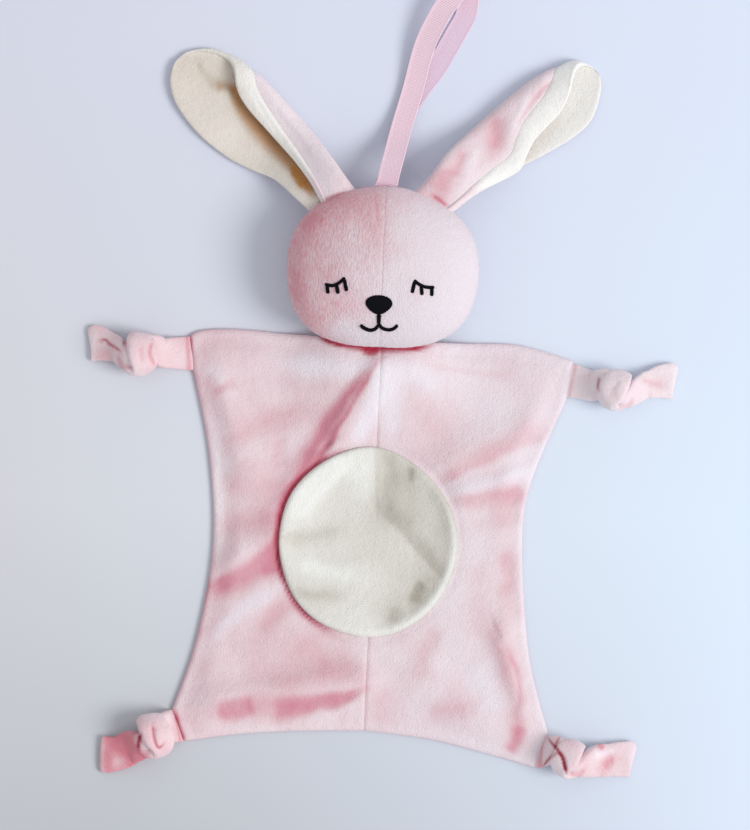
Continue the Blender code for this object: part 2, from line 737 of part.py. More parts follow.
def make_ear(side, base_x, base_y, heading, length, shares, pink, cream, head_cutter, neck):
    """One folded ear: its plush back and its lining, both cut by the head, on its base seam."""
    outward = Vector((math.cos(heading), math.sin(heading), 0))
    aside = Vector((outward.y, -outward.x, 0)) if side == "left" else Vector((-outward.y, outward.x, 0))
    base = Vector((HEAD_X + base_x, HEAD_Y + base_y, 0))
    near, far = SEAM_GAP / 2, SEAM_GAP / 2 + FABRIC
    grids = {"far_back": [], "back": [], "front": [], "far_front": []}
    offsets = {"far_back": -far, "back": -near, "front": near, "far_front": far}
    first, last = shares[0][0], shares[-1][0]
    for i in range(EAR_ROWS + 1):
        along = first + (last - first) * math.sin(math.pi / 2 * i / EAR_ROWS) ** 1.15
        _, lobe, fold, free, high, turn = row_at(shares, along)
        edges = (lobe * EAR_WIDTH, fold * EAR_WIDTH, free * EAR_WIDTH)
        line = ear_profile(*edges, high * EAR_FOLD_HEIGHT, math.pi * min(turn, 1.0))
        start = base + outward * along * length + Vector((0, 0, ear_height(along, length)))
        for key, offset in offsets.items():
            row = []
            for place, inward in line:
                t, z = place + inward * offset
                row.append(start + aside * t + Vector((0, 0, z)))
            grids[key].append(row)
    outer = layer(side + "_ear_outer", grids["back"], grids["far_back"], pink)
    lining = layer(side + "_ear_lining", grids["far_front"], grids["front"], cream)
    cut(outer, head_cutter)
    cut(lining, head_cutter)
    hinge = base + outward * EAR_HINGE_OUT
    hinge.z = ear_height(0, length) + shares[1][4] * EAR_FOLD_HEIGHT + SEAM_GAP / 2 + FABRIC
    pivot_at(side + "_ear_hinge", hinge, Vector((outward.y, -outward.x, 0)), [outer, lining], neck)


# The limbs


def limb_rows(tab_length, tail_length, knot_aside, tail_aside):
    """Along a limb: its distance from the hinge, how far aside it lies, its width, height and middle."""
    rows = []
    radius = STRAP_THICKNESS / 2
    for k in range(1, LIMB_END_STEPS + 1):
        angle = math.pi / 2 * k / LIMB_END_STEPS
        rows.append((-radius * math.cos(angle), 0, TAB_WIDTH_SHARE * STRAP_WIDTH, radius * math.sin(angle)))
    stretches = ((0, tab_length, TAB_SHARES), (tab_length, KNOT_LENGTH, KNOT_SHARES))
    stretches += ((tab_length + KNOT_LENGTH, tail_length, TAIL_SHARES),)
    middle = tab_length + KNOT_LENGTH / 2
    end = tab_length + KNOT_LENGTH + tail_length
    for start, length, shares in stretches:
        for share, width, height in shares:
            along = start + share * length
            bend = knot_aside * smoothstep(along / middle)
            bend += (tail_aside - knot_aside) * smoothstep((along - middle) / (end - middle))
            rows.append((along, bend, width * STRAP_WIDTH, height * KNOT_HEIGHT / 2))
    return rows


def make_limb(name, seam, lengths, asides, material):
    """A strap that comes out of a seam, swells into its knot and ends in a loose tail."""
    first, second = seam
    along_seam = (second - first).normalized()
    outward = Vector((along_seam.y, -along_seam.x, 0))
    aside = Vector((-outward.y, outward.x, 0))
    hinge = first.lerp(second, 0.5) + outward * LIMB_HINGE_OUT + Vector((0, 0, LIMB_HINGE_Z))
    table = limb_rows(*lengths, *asides)
    steps = (len(table) - 1) * LIMB_ROWS_PER_STEP
    rings = []
    for i in range(steps + 1):
        along, bend, width, half_height = smooth_values(table, i / LIMB_ROWS_PER_STEP)
        sunk = KNOT_FLAT_DEPTH * smoothstep(along / lengths[0])
        middle = max(half_height - STRAP_THICKNESS / 2 - sunk, 0.0)
        ring = []
        for k in range(LIMB_SIDES):
            angle = 2 * math.pi * k / LIMB_SIDES
            c, s = math.cos(angle), math.sin(angle)
            across = math.copysign(abs(c) ** 0.7, c) * width / 2
            level = middle + math.copysign(abs(s) ** 0.7, s) * half_height
            level = max(level, -STRAP_THICKNESS / 2)
            ring.append(hinge + outward * along + aside * (bend + across) + Vector((0, 0, level)))
        rings.append(ring)
    limb = loft(name, rings, material)
    pivot_at(name + "_hinge", hinge, -along_seam, [limb])


def make_limbs(material):
    """Two arms at the shoulders and two legs at the hem, each at its own straight seam."""
    left, right = scaled(LEFT_EDGE_SHARES), scaled(RIGHT_EDGE_SHARES)
    make_limb(
        "left_arm",
        (left[-1], left[-2]),
        (ARM_TAB_LENGTH, LEFT_ARM_TAIL_LENGTH),
        (LEFT_ARM_KNOT_ASIDE, LEFT_ARM_TAIL_ASIDE),
        material,
    )
    make_limb(
        "right_arm",
        (right[-2], right[-1]),
        (ARM_TAB_LENGTH, RIGHT_ARM_TAIL_LENGTH),
        (RIGHT_ARM_KNOT_ASIDE, RIGHT_ARM_TAIL_ASIDE),
        material,
    )
    make_limb(
        "left_leg",
        (left[1], left[0]),
        (LEG_TAB_LENGTH, LEFT_LEG_TAIL_LENGTH),
        (LEFT_LEG_KNOT_ASIDE, LEFT_LEG_TAIL_ASIDE),
        material,
    )
    make_limb(
        "right_leg",
        (right[0], right[1]),
        (LEG_TAB_LENGTH, RIGHT_LEG_TAIL_LENGTH),
        (RIGHT_LEG_KNOT_ASIDE, RIGHT_LEG_TAIL_ASIDE),
        material,
    )


# The ribbon


def make_ribbon(material, head_cutter, neck):
    """One ribbon that leaves the crown seam, turns over at its far end and comes back below itself."""
    crown = Vector((HEAD_X, HEAD_Y + HEAD_LENGTH / 2, HEAD_SEAM_Z))
    steps = (len(RIBBON_ROUTE_SHARES) - 1) * RIBBON_STEPS
    rows = [smooth_values(RIBBON_ROUTE_SHARES, i / RIBBON_STEPS) for i in range(steps + 1)]
    stack = Vector((0, 0, (RIBBON_THICKNESS + RIBBON_STRAND_GAP) / 2))
    places = [crown + Vector(row[:3]) * RIBBON_REACH + stack * row[4] for row in rows]
    rings = []
    for i, place in enumerate(places):
        ahead = places[min(i + 1, steps)] - places[max(i - 1, 0)]
        angle = math.radians(rows[i][3])
        width = Vector((math.cos(angle), math.sin(angle), 0))
        up = width.cross(ahead).normalized()
        side, thick = width * RIBBON_WIDTH / 2, up * RIBBON_THICKNESS / 2
        rings.append([place - side - thick, place + side - thick, place + side + thick, place - side + thick])
    ribbon = loft("ribbon_loop", rings, material)
    cut(ribbon, head_cutter)
    hinge = crown + Vector((0, RIBBON_HINGE_OUT, 0))
    pivot_at("ribbon_hinge", hinge, Vector((1, 0, 0)), [ribbon], neck)


def main():
    """Clears the scene and makes every piece."""
    for item in list(bpy.data.objects):
        bpy.data.objects.remove(item)
    pink = make_material("pink plush", srgb(228, 196, 204), 0.9)
    cream = make_material("cream plush", srgb(226, 222, 210), 0.9)
    thread = make_material("navy thread", srgb(12, 12, 22), 0.6)
    woven = make_material("pink ribbon", srgb(226, 192, 206), 0.6)
    fibre = make_material("white fibre", srgb(240, 240, 238), 0.95)
    neck = make_head(pink, fibre, thread)
    make_blanket(pink, cream)
    cutter = head_ball("head_cutter", -SEAM_GAP, None)
    left = (LEFT_EAR_BASE_X, LEFT_EAR_BASE_Y, LEFT_EAR_HEADING, LEFT_EAR_LENGTH, LEFT_EAR_SHARES)
    right = (RIGHT_EAR_BASE_X, RIGHT_EAR_BASE_Y, RIGHT_EAR_HEADING, RIGHT_EAR_LENGTH, RIGHT_EAR_SHARES)
    make_ear("left", *left, pink, cream, cutter, neck)
    make_ear("right", *right, pink, cream, cutter, neck)
    make_limbs(pink)
    make_ribbon(woven, cutter, neck)


main()
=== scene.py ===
"""Dresses the comfort blanket lovey: a plush bunny head on a flat blanket with knotted corners.

The toy lies face up on a pale floor. +Z is up, +Y points to the head, and left and right are the
viewer's. Lengths are metres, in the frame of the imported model, and tables say where they differ.
"""

import logging
import math
from collections.abc import Sequence
from dataclasses import dataclass, field
from enum import Enum

import bmesh
import bpy
import numpy as np
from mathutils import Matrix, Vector


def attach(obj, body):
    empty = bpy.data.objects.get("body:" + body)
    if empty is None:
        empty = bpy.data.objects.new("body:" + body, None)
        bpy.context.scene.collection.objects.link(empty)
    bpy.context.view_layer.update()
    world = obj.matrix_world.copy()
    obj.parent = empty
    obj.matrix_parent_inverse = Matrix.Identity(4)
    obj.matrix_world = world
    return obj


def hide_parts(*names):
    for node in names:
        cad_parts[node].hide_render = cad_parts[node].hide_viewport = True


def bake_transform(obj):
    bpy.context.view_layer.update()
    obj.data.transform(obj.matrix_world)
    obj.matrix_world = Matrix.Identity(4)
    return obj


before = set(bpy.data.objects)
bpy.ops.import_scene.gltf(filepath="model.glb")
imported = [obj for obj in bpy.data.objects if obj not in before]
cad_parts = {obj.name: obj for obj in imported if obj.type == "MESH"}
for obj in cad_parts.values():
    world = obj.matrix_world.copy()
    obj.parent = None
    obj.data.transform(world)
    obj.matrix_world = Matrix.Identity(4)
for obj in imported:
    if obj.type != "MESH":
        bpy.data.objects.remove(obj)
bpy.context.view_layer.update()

LOG = logging.getLogger("lovey")
MM = 0.001
FABRIC = 1.4 * MM
SEAM_GAP = 0.3 * MM
REST_GAP = 0.1 * MM
TINY = 1e-12
FAR = 1.0  # Past the reach of every fade.
CURVE_STEPS = 60  # Places of a smooth curve for each row of its table.
FULL_TURN = 2 * math.pi
UP = np.array((0.0, 0.0, 1.0))
MARKS = ("deep", "pale", "warm", "run", "side")

Array = np.ndarray
Pixel = tuple[float, float]
Table = tuple[tuple, ...]
Piece = bpy.types.Object
Grids = dict[str, Array]


class Body(Enum):
    """The bodies that a piece can move with."""

    BLANKET = "blanket"
    HEAD = "head"
    LEFT_EAR = "left_ear"
    RIGHT_EAR = "right_ear"
    RIBBON = "ribbon"


class Slot(Enum):
    """The record's material slots."""

    PINK = "pink_plush"
    CREAM = "cream_plush"
    THREAD = "navy_thread"
    RIBBON = "pink_ribbon"
    FIBRE = "white_fibre"


# Numbers and curves


def ease(value: Array) -> Array:
    """A smooth rise from 0 below 0 to 1 above 1."""
    t = np.clip(value, 0.0, 1.0)
    return t * t * (3 - 2 * t)


def bell(distance: Array, width: float) -> Array:
    """1 at no distance, falling smoothly to nothing past the width."""
    return np.exp(-((distance / width) ** 2))


def rolled(distance: Array, radius: float, power: float = 2.0, least: float = 0.0) -> Array:
    """The height of a rounded edge.

    Args:
        distance: how far in from the edge.
        radius: how far in the edge is round.
        power: the shape of the round, 2 for a circle.
        least: the square of the smallest height.

    Returns:
        Heights from 0 at the edge to 1 past the radius.
    """
    near = 1 - np.clip(distance / radius, 0, 1)
    return np.sqrt(np.clip(1 - near**power, least, 1))


def on_plane(x: Array, y: Array) -> Array:
    """Points at level 0, from their x and y."""
    return np.stack([x, y, np.zeros_like(x)], axis=-1)


def unit(vectors: Array) -> Array:
    """Vectors of length 1, along the last axis."""
    return vectors / np.maximum(np.linalg.norm(vectors, axis=-1, keepdims=True), TINY)


def tinted(**marks: Array) -> Grids:
    """Marks, each kept from 0 to 1."""
    return {name: np.clip(values, 0, 1) for name, values in marks.items()}


def noise(places: Array, cell: float, seed: int) -> Array:
    """Smooth noise over space.

    Args:
        places: points in metres, in the last axis.
        cell: the size of the noise's lumps.
        seed: which noise.

    Returns:
        Values from -1 to 1.
    """
    spread = places / cell + seed * 17.31
    corner = np.floor(spread).astype(np.int64)
    part = spread - corner
    part = part * part * (3 - 2 * part)
    total = np.zeros(places.shape[:-1])
    for bits in range(8):
        step = np.array([bits & 1, bits >> 1 & 1, bits >> 2 & 1])
        spot = corner + step
        key = spot[..., 0] * 73856093 ^ spot[..., 1] * 19349663 ^ spot[..., 2] * 83492791
        key = (key ^ key >> 13) * 1274126177
        value = ((key ^ key >> 16) & 0xFFFF) / 32767.5 - 1
        total += value * np.prod(np.where(step, part, 1 - part), axis=-1)
    return total


def mottle(places: Array, *layers: tuple[float, float, int]) -> Array:
    """Several noises in one.

    Args:
        places: points in metres, in the last axis.
        *layers: each noise's strength, the size of its lumps in millimetres, and which noise it is.

    Returns:
        Their sum.
    """
    return sum(strength * noise(places, cell * MM, seed) for strength, cell, seed in layers)


def curve_through(rows: Array, count: int) -> Array:
    """The smooth curve through a table's rows.

    Args:
        rows: the table, a point in each row.
        count: how many places to give.

    Returns:
        Places from the first row to the last.
    """
    last = len(rows) - 1
    positions = np.linspace(0, last, count)
    index = np.clip(positions.astype(int), 0, last - 1)
    t = (positions - index)[:, None]
    a, b, c, d = (rows[np.clip(index + k, 0, last)] for k in (-1, 0, 1, 2))
    return b + 0.5 * t * (c - a + t * (2 * a - 5 * b + 4 * c - d + t * (3 * (b - c) + d - a)))


def lengths_along(places: Array) -> Array:
    """The distance covered at each place of a line."""
    return np.concatenate([[0.0], np.cumsum(np.linalg.norm(np.diff(places, axis=0), axis=1))])


def columns_at(values: Array, keys: Array, table: Array) -> Array:
    """A table's columns, read where the keys beside its rows have the given values."""
    return np.stack([np.interp(values, keys, column) for column in table.T], axis=-1)


def read_at(fine: Array, shares: Array) -> Array:
    """Places on a fine line at shares of its length."""
    length = lengths_along(fine)
    return columns_at(shares * length[-1], length, fine)


def evenly(rows: Array, shares: Array) -> Array:
    """Places at shares of the length of the smooth curve through the rows."""
    return read_at(curve_through(rows, CURVE_STEPS * len(rows)), shares)


def respaced(path: Array, others: Array, step: float) -> tuple[Array, Array, Array]:
    """Places at even steps along a path.

    Args:
        path: points on the path.
        others: further columns that belong to them.
        step: the spacing.

    Returns:
        The new points, their further columns and the distance along the path.
    """
    run = lengths_along(path)
    evenly_run = np.linspace(0, 1, int(run[-1] / step)) * run[-1]
    rows = columns_at(evenly_run, run, np.concatenate([path, others], axis=1))
    return rows[:, :3], rows[:, 3:], lengths_along(rows[:, :3])


def graded(length: float, step: float, fine: Sequence[float]) -> Array:
    """Shares of a length, close together at both ends.

    Args:
        length: the whole length.
        step: the spacing in the middle.
        fine: the distances from each end that are kept.

    Returns:
        Rising shares from 0 to 1.
    """
    ends = np.array(fine)
    count = max(int((length - 2 * ends[-1]) / step), 2)
    middle = np.linspace(ends[-1], length - ends[-1], count + 1)
    return np.concatenate([ends[:-1], middle, (length - ends[:-1])[::-1]]) / length


def grid_normals(grid: Array) -> Array:
    """The upward normal at each place of a grid."""
    normal = np.cross(np.gradient(grid, axis=1), np.gradient(grid, axis=0))
    return unit(normal * np.sign(normal[..., 2:].mean() or 1.0))


@dataclass(frozen=True)
class Photo:
    """The photograph's plane: how its pixels lie on the toy."""

    width: int = 750
    height: int = 830
    pixel: float = 0.6 * MM
    origin_x: float = 372.5
    origin_y: float = 545.0
    turn: float = math.radians(2.6)

    def place(self, pixels: Sequence[Pixel] | Array) -> Array:
        """Pixels as places on the toy.

        Args:
            pixels: x and y in the photograph.

        Returns:
            A row of x and y for each.
        """
        across = np.array([p[0] for p in pixels]) - self.origin_x
        along = self.origin_y - np.array([p[1] for p in pixels])
        cosine, sine = math.cos(self.turn) * self.pixel, math.sin(self.turn) * self.pixel
        return np.stack([cosine * across - sine * along, sine * across + cosine * along], axis=1)

    def run(self, line: Sequence[float]) -> Array:
        """Places on the toy, from pixels written as x, y, x, y and so on."""
        return self.place(np.reshape(line, (-1, 2)))

    def middle(self) -> Array:
        """The place in the middle of the photograph."""
        return self.place([(self.width / 2, self.height / 2)])[0]


PHOTO = Photo()


@dataclass(frozen=True)
class Stroke:
    """A crease, ridge or tint drawn along a line of the photograph's pixels.

    The line is x, y, x, y and so on. Width, rise and end_width are millimetres, and an end_width of
    0 is the width. Crisp sets how square the stroke is across, and lean makes its left side wider.
    """

    line: tuple[float, ...]
    width: float
    rise: float = 0.0
    # Deep and warm are painted shade in a crease, pale is painted light on a ridge.
    deep: float = 0.0
    pale: float = 0.0
    warm: float = 0.0
    end_width: float = 0.0
    crisp: float = 2.0
    lean: float = 0.0

    def weight(self, x: Array, y: Array) -> Array:
        """How much of the stroke lies at each place, with tapered ends and a loose edge.

        Args:
            x: the places' x.
            y: the places' y.

        Returns:
            Shares from 0 to 1.
        """
        places, first = on_plane(x, y), self.width * MM
        loose = min(0.45 * first, 1.4 * MM)
        x, y = x + mottle(places, (loose, 8, 81)), y + mottle(places, (loose, 8, 82))
        spots = PHOTO.run(self.line)
        fine = curve_through(spots, 4 * len(spots))
        length = lengths_along(fine)
        nearest, run, side = np.full_like(x, FAR), np.zeros_like(x), np.zeros_like(x)
        for (ax, ay), (bx, by), before in zip(fine, fine[1:], length, strict=False):
            dx, dy = bx - ax, by - ay
            long = max(math.hypot(dx, dy), TINY)
            t = np.clip(((x - ax) * dx + (y - ay) * dy) / long**2, 0, 1)
            away = np.hypot(x - ax - dx * t, y - ay - dy * t)
            left = (dx * (y - ay) - dy * (x - ax)) / long
            run = np.where(away < nearest, before + t * long, run)
            side = np.where(away < nearest, np.clip(left / (0.3 * first), -1, 1), side)
            nearest = np.minimum(nearest, away)
        share = run / length[-1]
        width = first + ((self.end_width * MM or first) - first) * share
        width = width * (1 + self.lean * side)
        taper = 0.3 + 0.7 * ease(np.minimum(share, 1 - share) / 0.2)
        return np.exp(-((nearest / width) ** self.crisp)) * taper


@dataclass
class Relief:
    """What a set of strokes does at each place: its rise, and its deep, pale and warm tints."""

    rise: Array
    deep: Array
    pale: Array
    warm: Array

    @classmethod
    def of(cls, rows: Table, places: Array) -> "Relief":
        """Sums strokes.

        Args:
            rows: a table of strokes, each as the fields of Stroke.
            places: points, of which x and y count.

        Returns:
            The strokes' effect at each point.
        """
        x, y = places[..., 0], places[..., 1]
        relief = cls(*(np.zeros(np.shape(x)) for _ in range(4)))
        for stroke in (Stroke(*row) for row in rows):
            weight = stroke.weight(x, y)
            relief.rise += stroke.rise * MM * weight
            relief.deep += stroke.deep * weight
            relief.pale += stroke.pale * weight
            relief.warm += stroke.warm * weight
        return relief


# Meshes


def put(piece: Piece) -> Piece:
    """Links an object to the scene."""
    bpy.context.scene.collection.objects.link(piece)
    return piece


@dataclass
class Draft:
    """A mesh in the making: places, faces and the marks that its finish reads."""

    places: list[Array] = field(default_factory=list)
    faces: list[Array] = field(default_factory=list)
    caps: list[list[int]] = field(default_factory=list)
    marks: dict[str, list[Array]] = field(default_factory=lambda: {m: [] for m in MARKS})
    count: int = 0

    def grid(self, places: Array, closed: bool = False, **marks: Array | float) -> Array:
        """Adds a grid of places with its faces.

        Args:
            places: rows and columns of points.
            closed: whether the last column joins the first.
            **marks: values for each place, by mark.

        Returns:
            The grid's vertex numbers.
        """
        shape = places.shape[:2]
        index = self.count + np.arange(shape[0] * shape[1]).reshape(shape)
        self.places.append(places.reshape(-1, 3))
        for name, kept in self.marks.items():
            kept.append(np.broadcast_to(marks.get(name, 0.0), shape).reshape(-1))
        self.count += index.size
        ring = np.concatenate([index, index[:, :1]], axis=1) if closed else index
        corners = (ring[:-1, :-1], ring[:-1, 1:], ring[1:, 1:], ring[1:, :-1])
        self.faces.append(np.stack(corners, axis=-1).reshape(-1, 4))
        return index

    def bridge(self, first: Array, second: Array) -> None:
        """Joins two closed loops of vertex numbers.

        Args:
            first: one loop.
            second: the other, of the same length.
        """
        corners = (first, np.roll(first, -1), np.roll(second, -1), second)
        self.faces.append(np.stack(corners, axis=-1))

    def cap(self, *loops: Array) -> None:
        """Fills loops of vertex numbers."""
        self.caps.extend([int(i) for i in loop] for loop in loops)

    def sheet(self, above: Array, below: Array, **marks: Array | float) -> "Draft":
        """Adds a closed sheet between two grids.

        Args:
            above: the upper grid.
            below: the lower grid.
            **marks: the same values for both.

        Returns:
            The draft.
        """
        rims = []
        for index in (self.grid(above, **marks), self.grid(below, **marks)):
            sides = (index[0, :-1], index[:-1, -1], index[-1, :0:-1], index[:0:-1, 0])
            rims.append(np.concatenate(sides))
        self.bridge(*rims)
        return self

    def disc(self, above: Array, below: Array, **marks: Array | float) -> "Draft":
        """Adds a closed disc between two sets of rings, the outermost first.

        Args:
            above: the upper rings.
            below: the lower rings.
            **marks: the same values for both.

        Returns:
            The draft.
        """
        upper, lower = (self.grid(rings, closed=True, **marks) for rings in (above, below))
        self.bridge(upper[0], lower[0])
        self.cap(upper[-1], lower[-1])
        return self

    def build(self, name: str, node: str, finish: "Finish", body: Body | None = None) -> Piece:
        """Makes the object, with outward faces and its finish.

        Args:
            name: the piece's name.
            node: the solid that it stands for.
            finish: what it is made of.
            body: what it moves with, or nothing for a piece that is attached to no body.

        Returns:
            The new object.
        """
        mesh = bpy.data.meshes.new(name)
        faces = np.concatenate(self.faces).tolist() + self.caps
        mesh.from_pydata(np.concatenate(self.places).tolist(), [], faces)
        for mark, values in self.marks.items():
            layer = mesh.attributes.new(mark, "FLOAT", "POINT")
            layer.data.foreach_set("value", np.concatenate(values).astype(np.float32))
        editor = bmesh.new()
        editor.from_mesh(mesh)
        bmesh.ops.remove_doubles(editor, verts=editor.verts, dist=1e-6)
        bmesh.ops.recalc_face_normals(editor, faces=editor.faces)
        editor.to_mesh(mesh)
        editor.free()
        mesh.shade_smooth()
        piece = put(bpy.data.objects.new(name, mesh))
        piece.data.materials.append(finish.material())
        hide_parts(node)
        if body:
            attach(piece, body.value)
        LOG.info("%s: %d faces, %s", name, len(mesh.polygons), finish.slot.value)
        return piece


def bend(piece: Piece, hinge: Array, ahead: Array, reach: Pixel) -> None:
    """Bakes a piece's placement into its mesh; the bend's ends are worked out, but nothing bends.

    Args:
        piece: the piece.
        hinge: the place of the hinge.
        ahead: the direction from the first body to the second.
        reach: how far past the hinge the bend starts and ends.
    """
    start, end = (hinge + ahead * distance for distance in reach)
    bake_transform(piece)


def area_of(grid: Array) -> float:
    """The area of a grid's cells."""
    first = np.cross(grid[1:, 1:] - grid[:-1, :-1], grid[:-1, 1:] - grid[1:, :-1])
    return float(np.linalg.norm(first, axis=-1).sum() / 2)


# Finishes


class Level:
    """A number on a surface. Arithmetic with it adds Math nodes."""

    def __init__(self, recipe: "Recipe", socket: bpy.types.NodeSocket) -> None:
        """Holds the socket that gives the number."""
        self.recipe, self.socket = recipe, socket

    def _joined(self, operation: str, *values: "Level | float", clamp: bool = False) -> "Level":
        """A Math node on some values.

        Args:
            operation: what the node does.
            *values: its inputs.
            clamp: whether the result is kept from 0 to 1.

        Returns:
            The result.
        """
        settings = {"operation": operation, "use_clamp": clamp}
        node = self.recipe.node("ShaderNodeMath", settings, dict(enumerate(values)))
        return Level(self.recipe, node.outputs[0])

    def __add__(self, other: "Level | float") -> "Level":
        """self + other."""
        return self._joined("ADD", self, other)

    def __sub__(self, other: "Level | float") -> "Level":
        """self - other."""
        return self._joined("SUBTRACT", self, other)

    def __rsub__(self, other: "Level | float") -> "Level":
        """other - self."""
        return self._joined("SUBTRACT", other, self)

    def __mul__(self, other: "Level | float") -> "Level":
        """self * other."""
        return self._joined("MULTIPLY", self, other)

    __radd__ = __add__
    __rmul__ = __mul__

    def clamped(self) -> "Level":
        """The number, kept from 0 to 1."""
        return self._joined("ADD", self, 0.0, clamp=True)

    def wave(self) -> "Level":
        """The sine of the number."""
        return self._joined("SINE", self)


Colour = tuple[int, int, int]
Stretch = tuple[float, float, float]


def srgb(colour: Colour) -> tuple[float, float, float, float]:
    """Display values from 0 to 255 as the linear colour that a shader takes."""
    red, green, blue = (((c / 255 + 0.055) / 1.055) ** 2.4 for c in colour)
    return (red, green, blue, 1.0)


class Recipe:
    """Builds one material, node by node."""

    def __init__(self, name: str) -> None:
        """Starts a Principled material.

        Args:
            name: the material's name.
        """
        self.result = bpy.data.materials.new(name)
        self.result.use_nodes = True
        self.tree = self.result.node_tree
        self.shader = self.tree.nodes["Principled BSDF"]

    def node(self, kind: str, settings: dict, inputs: dict) -> bpy.types.Node:
        """Adds a node.

        Args:
            kind: the node's type.
            settings: its properties, which are set first.
            inputs: values or links, by socket.

        Returns:
            The node.
        """
        node = self.tree.nodes.new(kind)
        for key, value in settings.items():
            setattr(node, key, value)
        for key, value in inputs.items():
            self.feed(node.inputs[key], value)
        return node

    def feed(self, socket: bpy.types.NodeSocket, value: object) -> None:
        """Links a level or a socket, or sets a plain value.

        Args:
            socket: what is fed.
            value: what it gets.
        """
        source = value.socket if isinstance(value, Level) else value
        if isinstance(source, bpy.types.NodeSocket):
            self.tree.links.new(source, socket)
        else:
            socket.default_value = source

    def mark(self, name: str) -> Level:
        """The value that the mesh carries under this name."""
        node = self.node("ShaderNodeAttribute", {"attribute_name": name}, {})
        return Level(self, node.outputs["Fac"])

    def ribs(self, mark: str, pitch: float) -> Level:
        """A wave from -1 to 1 along a mark, as far apart as the pitch."""
        return (self.mark(mark) * (FULL_TURN / pitch)).wave()

    def place(self, stretch: Stretch = (1, 1, 1)) -> bpy.types.NodeSocket:
        """Places on the object, with each axis stretched."""
        inputs = {0: self.node("ShaderNodeTexCoord", {}, {}).outputs["Object"], 1: stretch}
        return self.node("ShaderNodeVectorMath", {"operation": "MULTIPLY"}, inputs).outputs[0]

    def grain(
        self, size: float, detail: float = 2.0, stretch: Stretch = (1, 1, 1), swirl: float = 0.0
    ) -> Level:
        """Noise from -0.5 to 0.5.

        Args:
            size: the size of its lumps.
            detail: how many finer layers it has.
            stretch: each axis's stretch.
            swirl: how far it is distorted.

        Returns:
            The noise.
        """
        inputs = {"Vector": self.place(stretch), "Scale": 1 / size, "Detail": detail, "Distortion": swirl}
        return Level(self, self.node("ShaderNodeTexNoise", {}, inputs).outputs[0]) - 0.5

    def blend(self, share: Level, first: object, second: object) -> bpy.types.NodeSocket:
        """A colour that goes from the first to the second as the share goes from 0 to 1."""
        inputs = {0: share, 6: first, 7: second}
        return self.node("ShaderNodeMix", {"data_type": "RGBA"}, inputs).outputs[2]

    def bump(self, height: Level, distance: float, strength: float) -> bpy.types.NodeSocket:
        """A normal that follows a height."""
        inputs = {"Height": height, "Distance": distance, "Strength": strength}
        return self.node("ShaderNodeBump", {}, inputs).outputs["Normal"]

    def surface(self, **values: object) -> bpy.types.Material:
        """Feeds the shader.

        Args:
            **values: by socket, with underscores for blanks.

        Returns:
            The material.
        """
        for name, value in values.items():
            self.feed(self.shader.inputs[name.replace("_", " ")], value)
        return self.result


@dataclass(frozen=True)
class Finish:
    """What a piece is made of."""

    name: str
    slot: Slot

    def material(self) -> bpy.types.Material:
        """The finish's material, made once."""
        return bpy.data.materials.get(self.name) or self.mixed(Recipe(self.name))

    def mixed(self, r: Recipe) -> bpy.types.Material:
        """Mixes the material in its recipe."""
        raise NotImplementedError


@dataclass(frozen=True)
class Plush(Finish):
    """Short-pile plush: deeper where painted shade is marked, paler where painted light is marked."""

    light: Colour
    deep: Colour
    pale: Colour
    warm: Colour
    streaks: float = 0.0
    mottle: float = 0.22
    edging: Colour = (236, 216, 222)

    def mixed(self, r: Recipe) -> bpy.types.Material:
        """Pile, tufts and brushed streaks over the marked tints of painted shade, light and tone.

        Args:
            r: the recipe.

        Returns:
            The material.
        """
        pile = r.grain(0.9 * MM, 3.0)
        tuft = r.grain(4.5 * MM, 3.0)
        cloud = r.grain(24 * MM, 2.0)
        brushed = r.grain(1.0 * MM, 3.0, (1.0, 0.26, 0.6), 0.5)
        nap = r.mark("side") * self.streaks
        # The deep mark holds painted shade besides tone, pale holds painted light, and warm painted crease
        # shadow.
        shade = r.mark("deep") + cloud * self.mottle + pile * 0.2 + tuft * 0.16 + brushed * nap
        base = r.blend(shade.clamped(), srgb(self.light), srgb(self.deep))
        lit = (r.mark("pale") * 0.9 + r.mark("pale") * tuft * 0.6).clamped()
        base = r.blend(lit, base, srgb(self.pale))
        base = r.blend(r.mark("warm").clamped(), base, srgb(self.warm))
        base = r.blend(r.mark("run").clamped(), base, srgb(self.edging))
        height = pile * 0.9 + tuft * 0.9 + brushed * nap
        return r.surface(
            Base_Color=base,
            Roughness=0.92,
            Normal=r.bump(height, 1.1 * MM, 0.7),
            Sheen_Weight=0.3,
            Sheen_Roughness=0.45,
            Specular_IOR_Level=0.15,
        )


@dataclass(frozen=True)
class SatinThread(Finish):
    """Embroidery thread laid side by side in satin stitches."""

    colour: Colour
    glint: Colour
    pitch: float

    def mixed(self, r: Recipe) -> bpy.types.Material:
        """Ribbed threads across the stroke.

        Args:
            r: the recipe.

        Returns:
            The material.
        """
        strand = r.ribs("run", self.pitch)
        loose = r.grain(0.8 * MM)
        # The glint colour along the threads' ribs and in random spots is a painted highlight.
        shade = (strand * 0.25 + loose * 0.5 + 0.35).clamped()
        return r.surface(
            Base_Color=r.blend(shade, srgb(self.colour), srgb(self.glint)),
            Roughness=0.6,
            Normal=r.bump(strand * 0.5 + loose * 0.4, 0.25 * MM, 0.6),
            Specular_IOR_Level=0.08,
        )


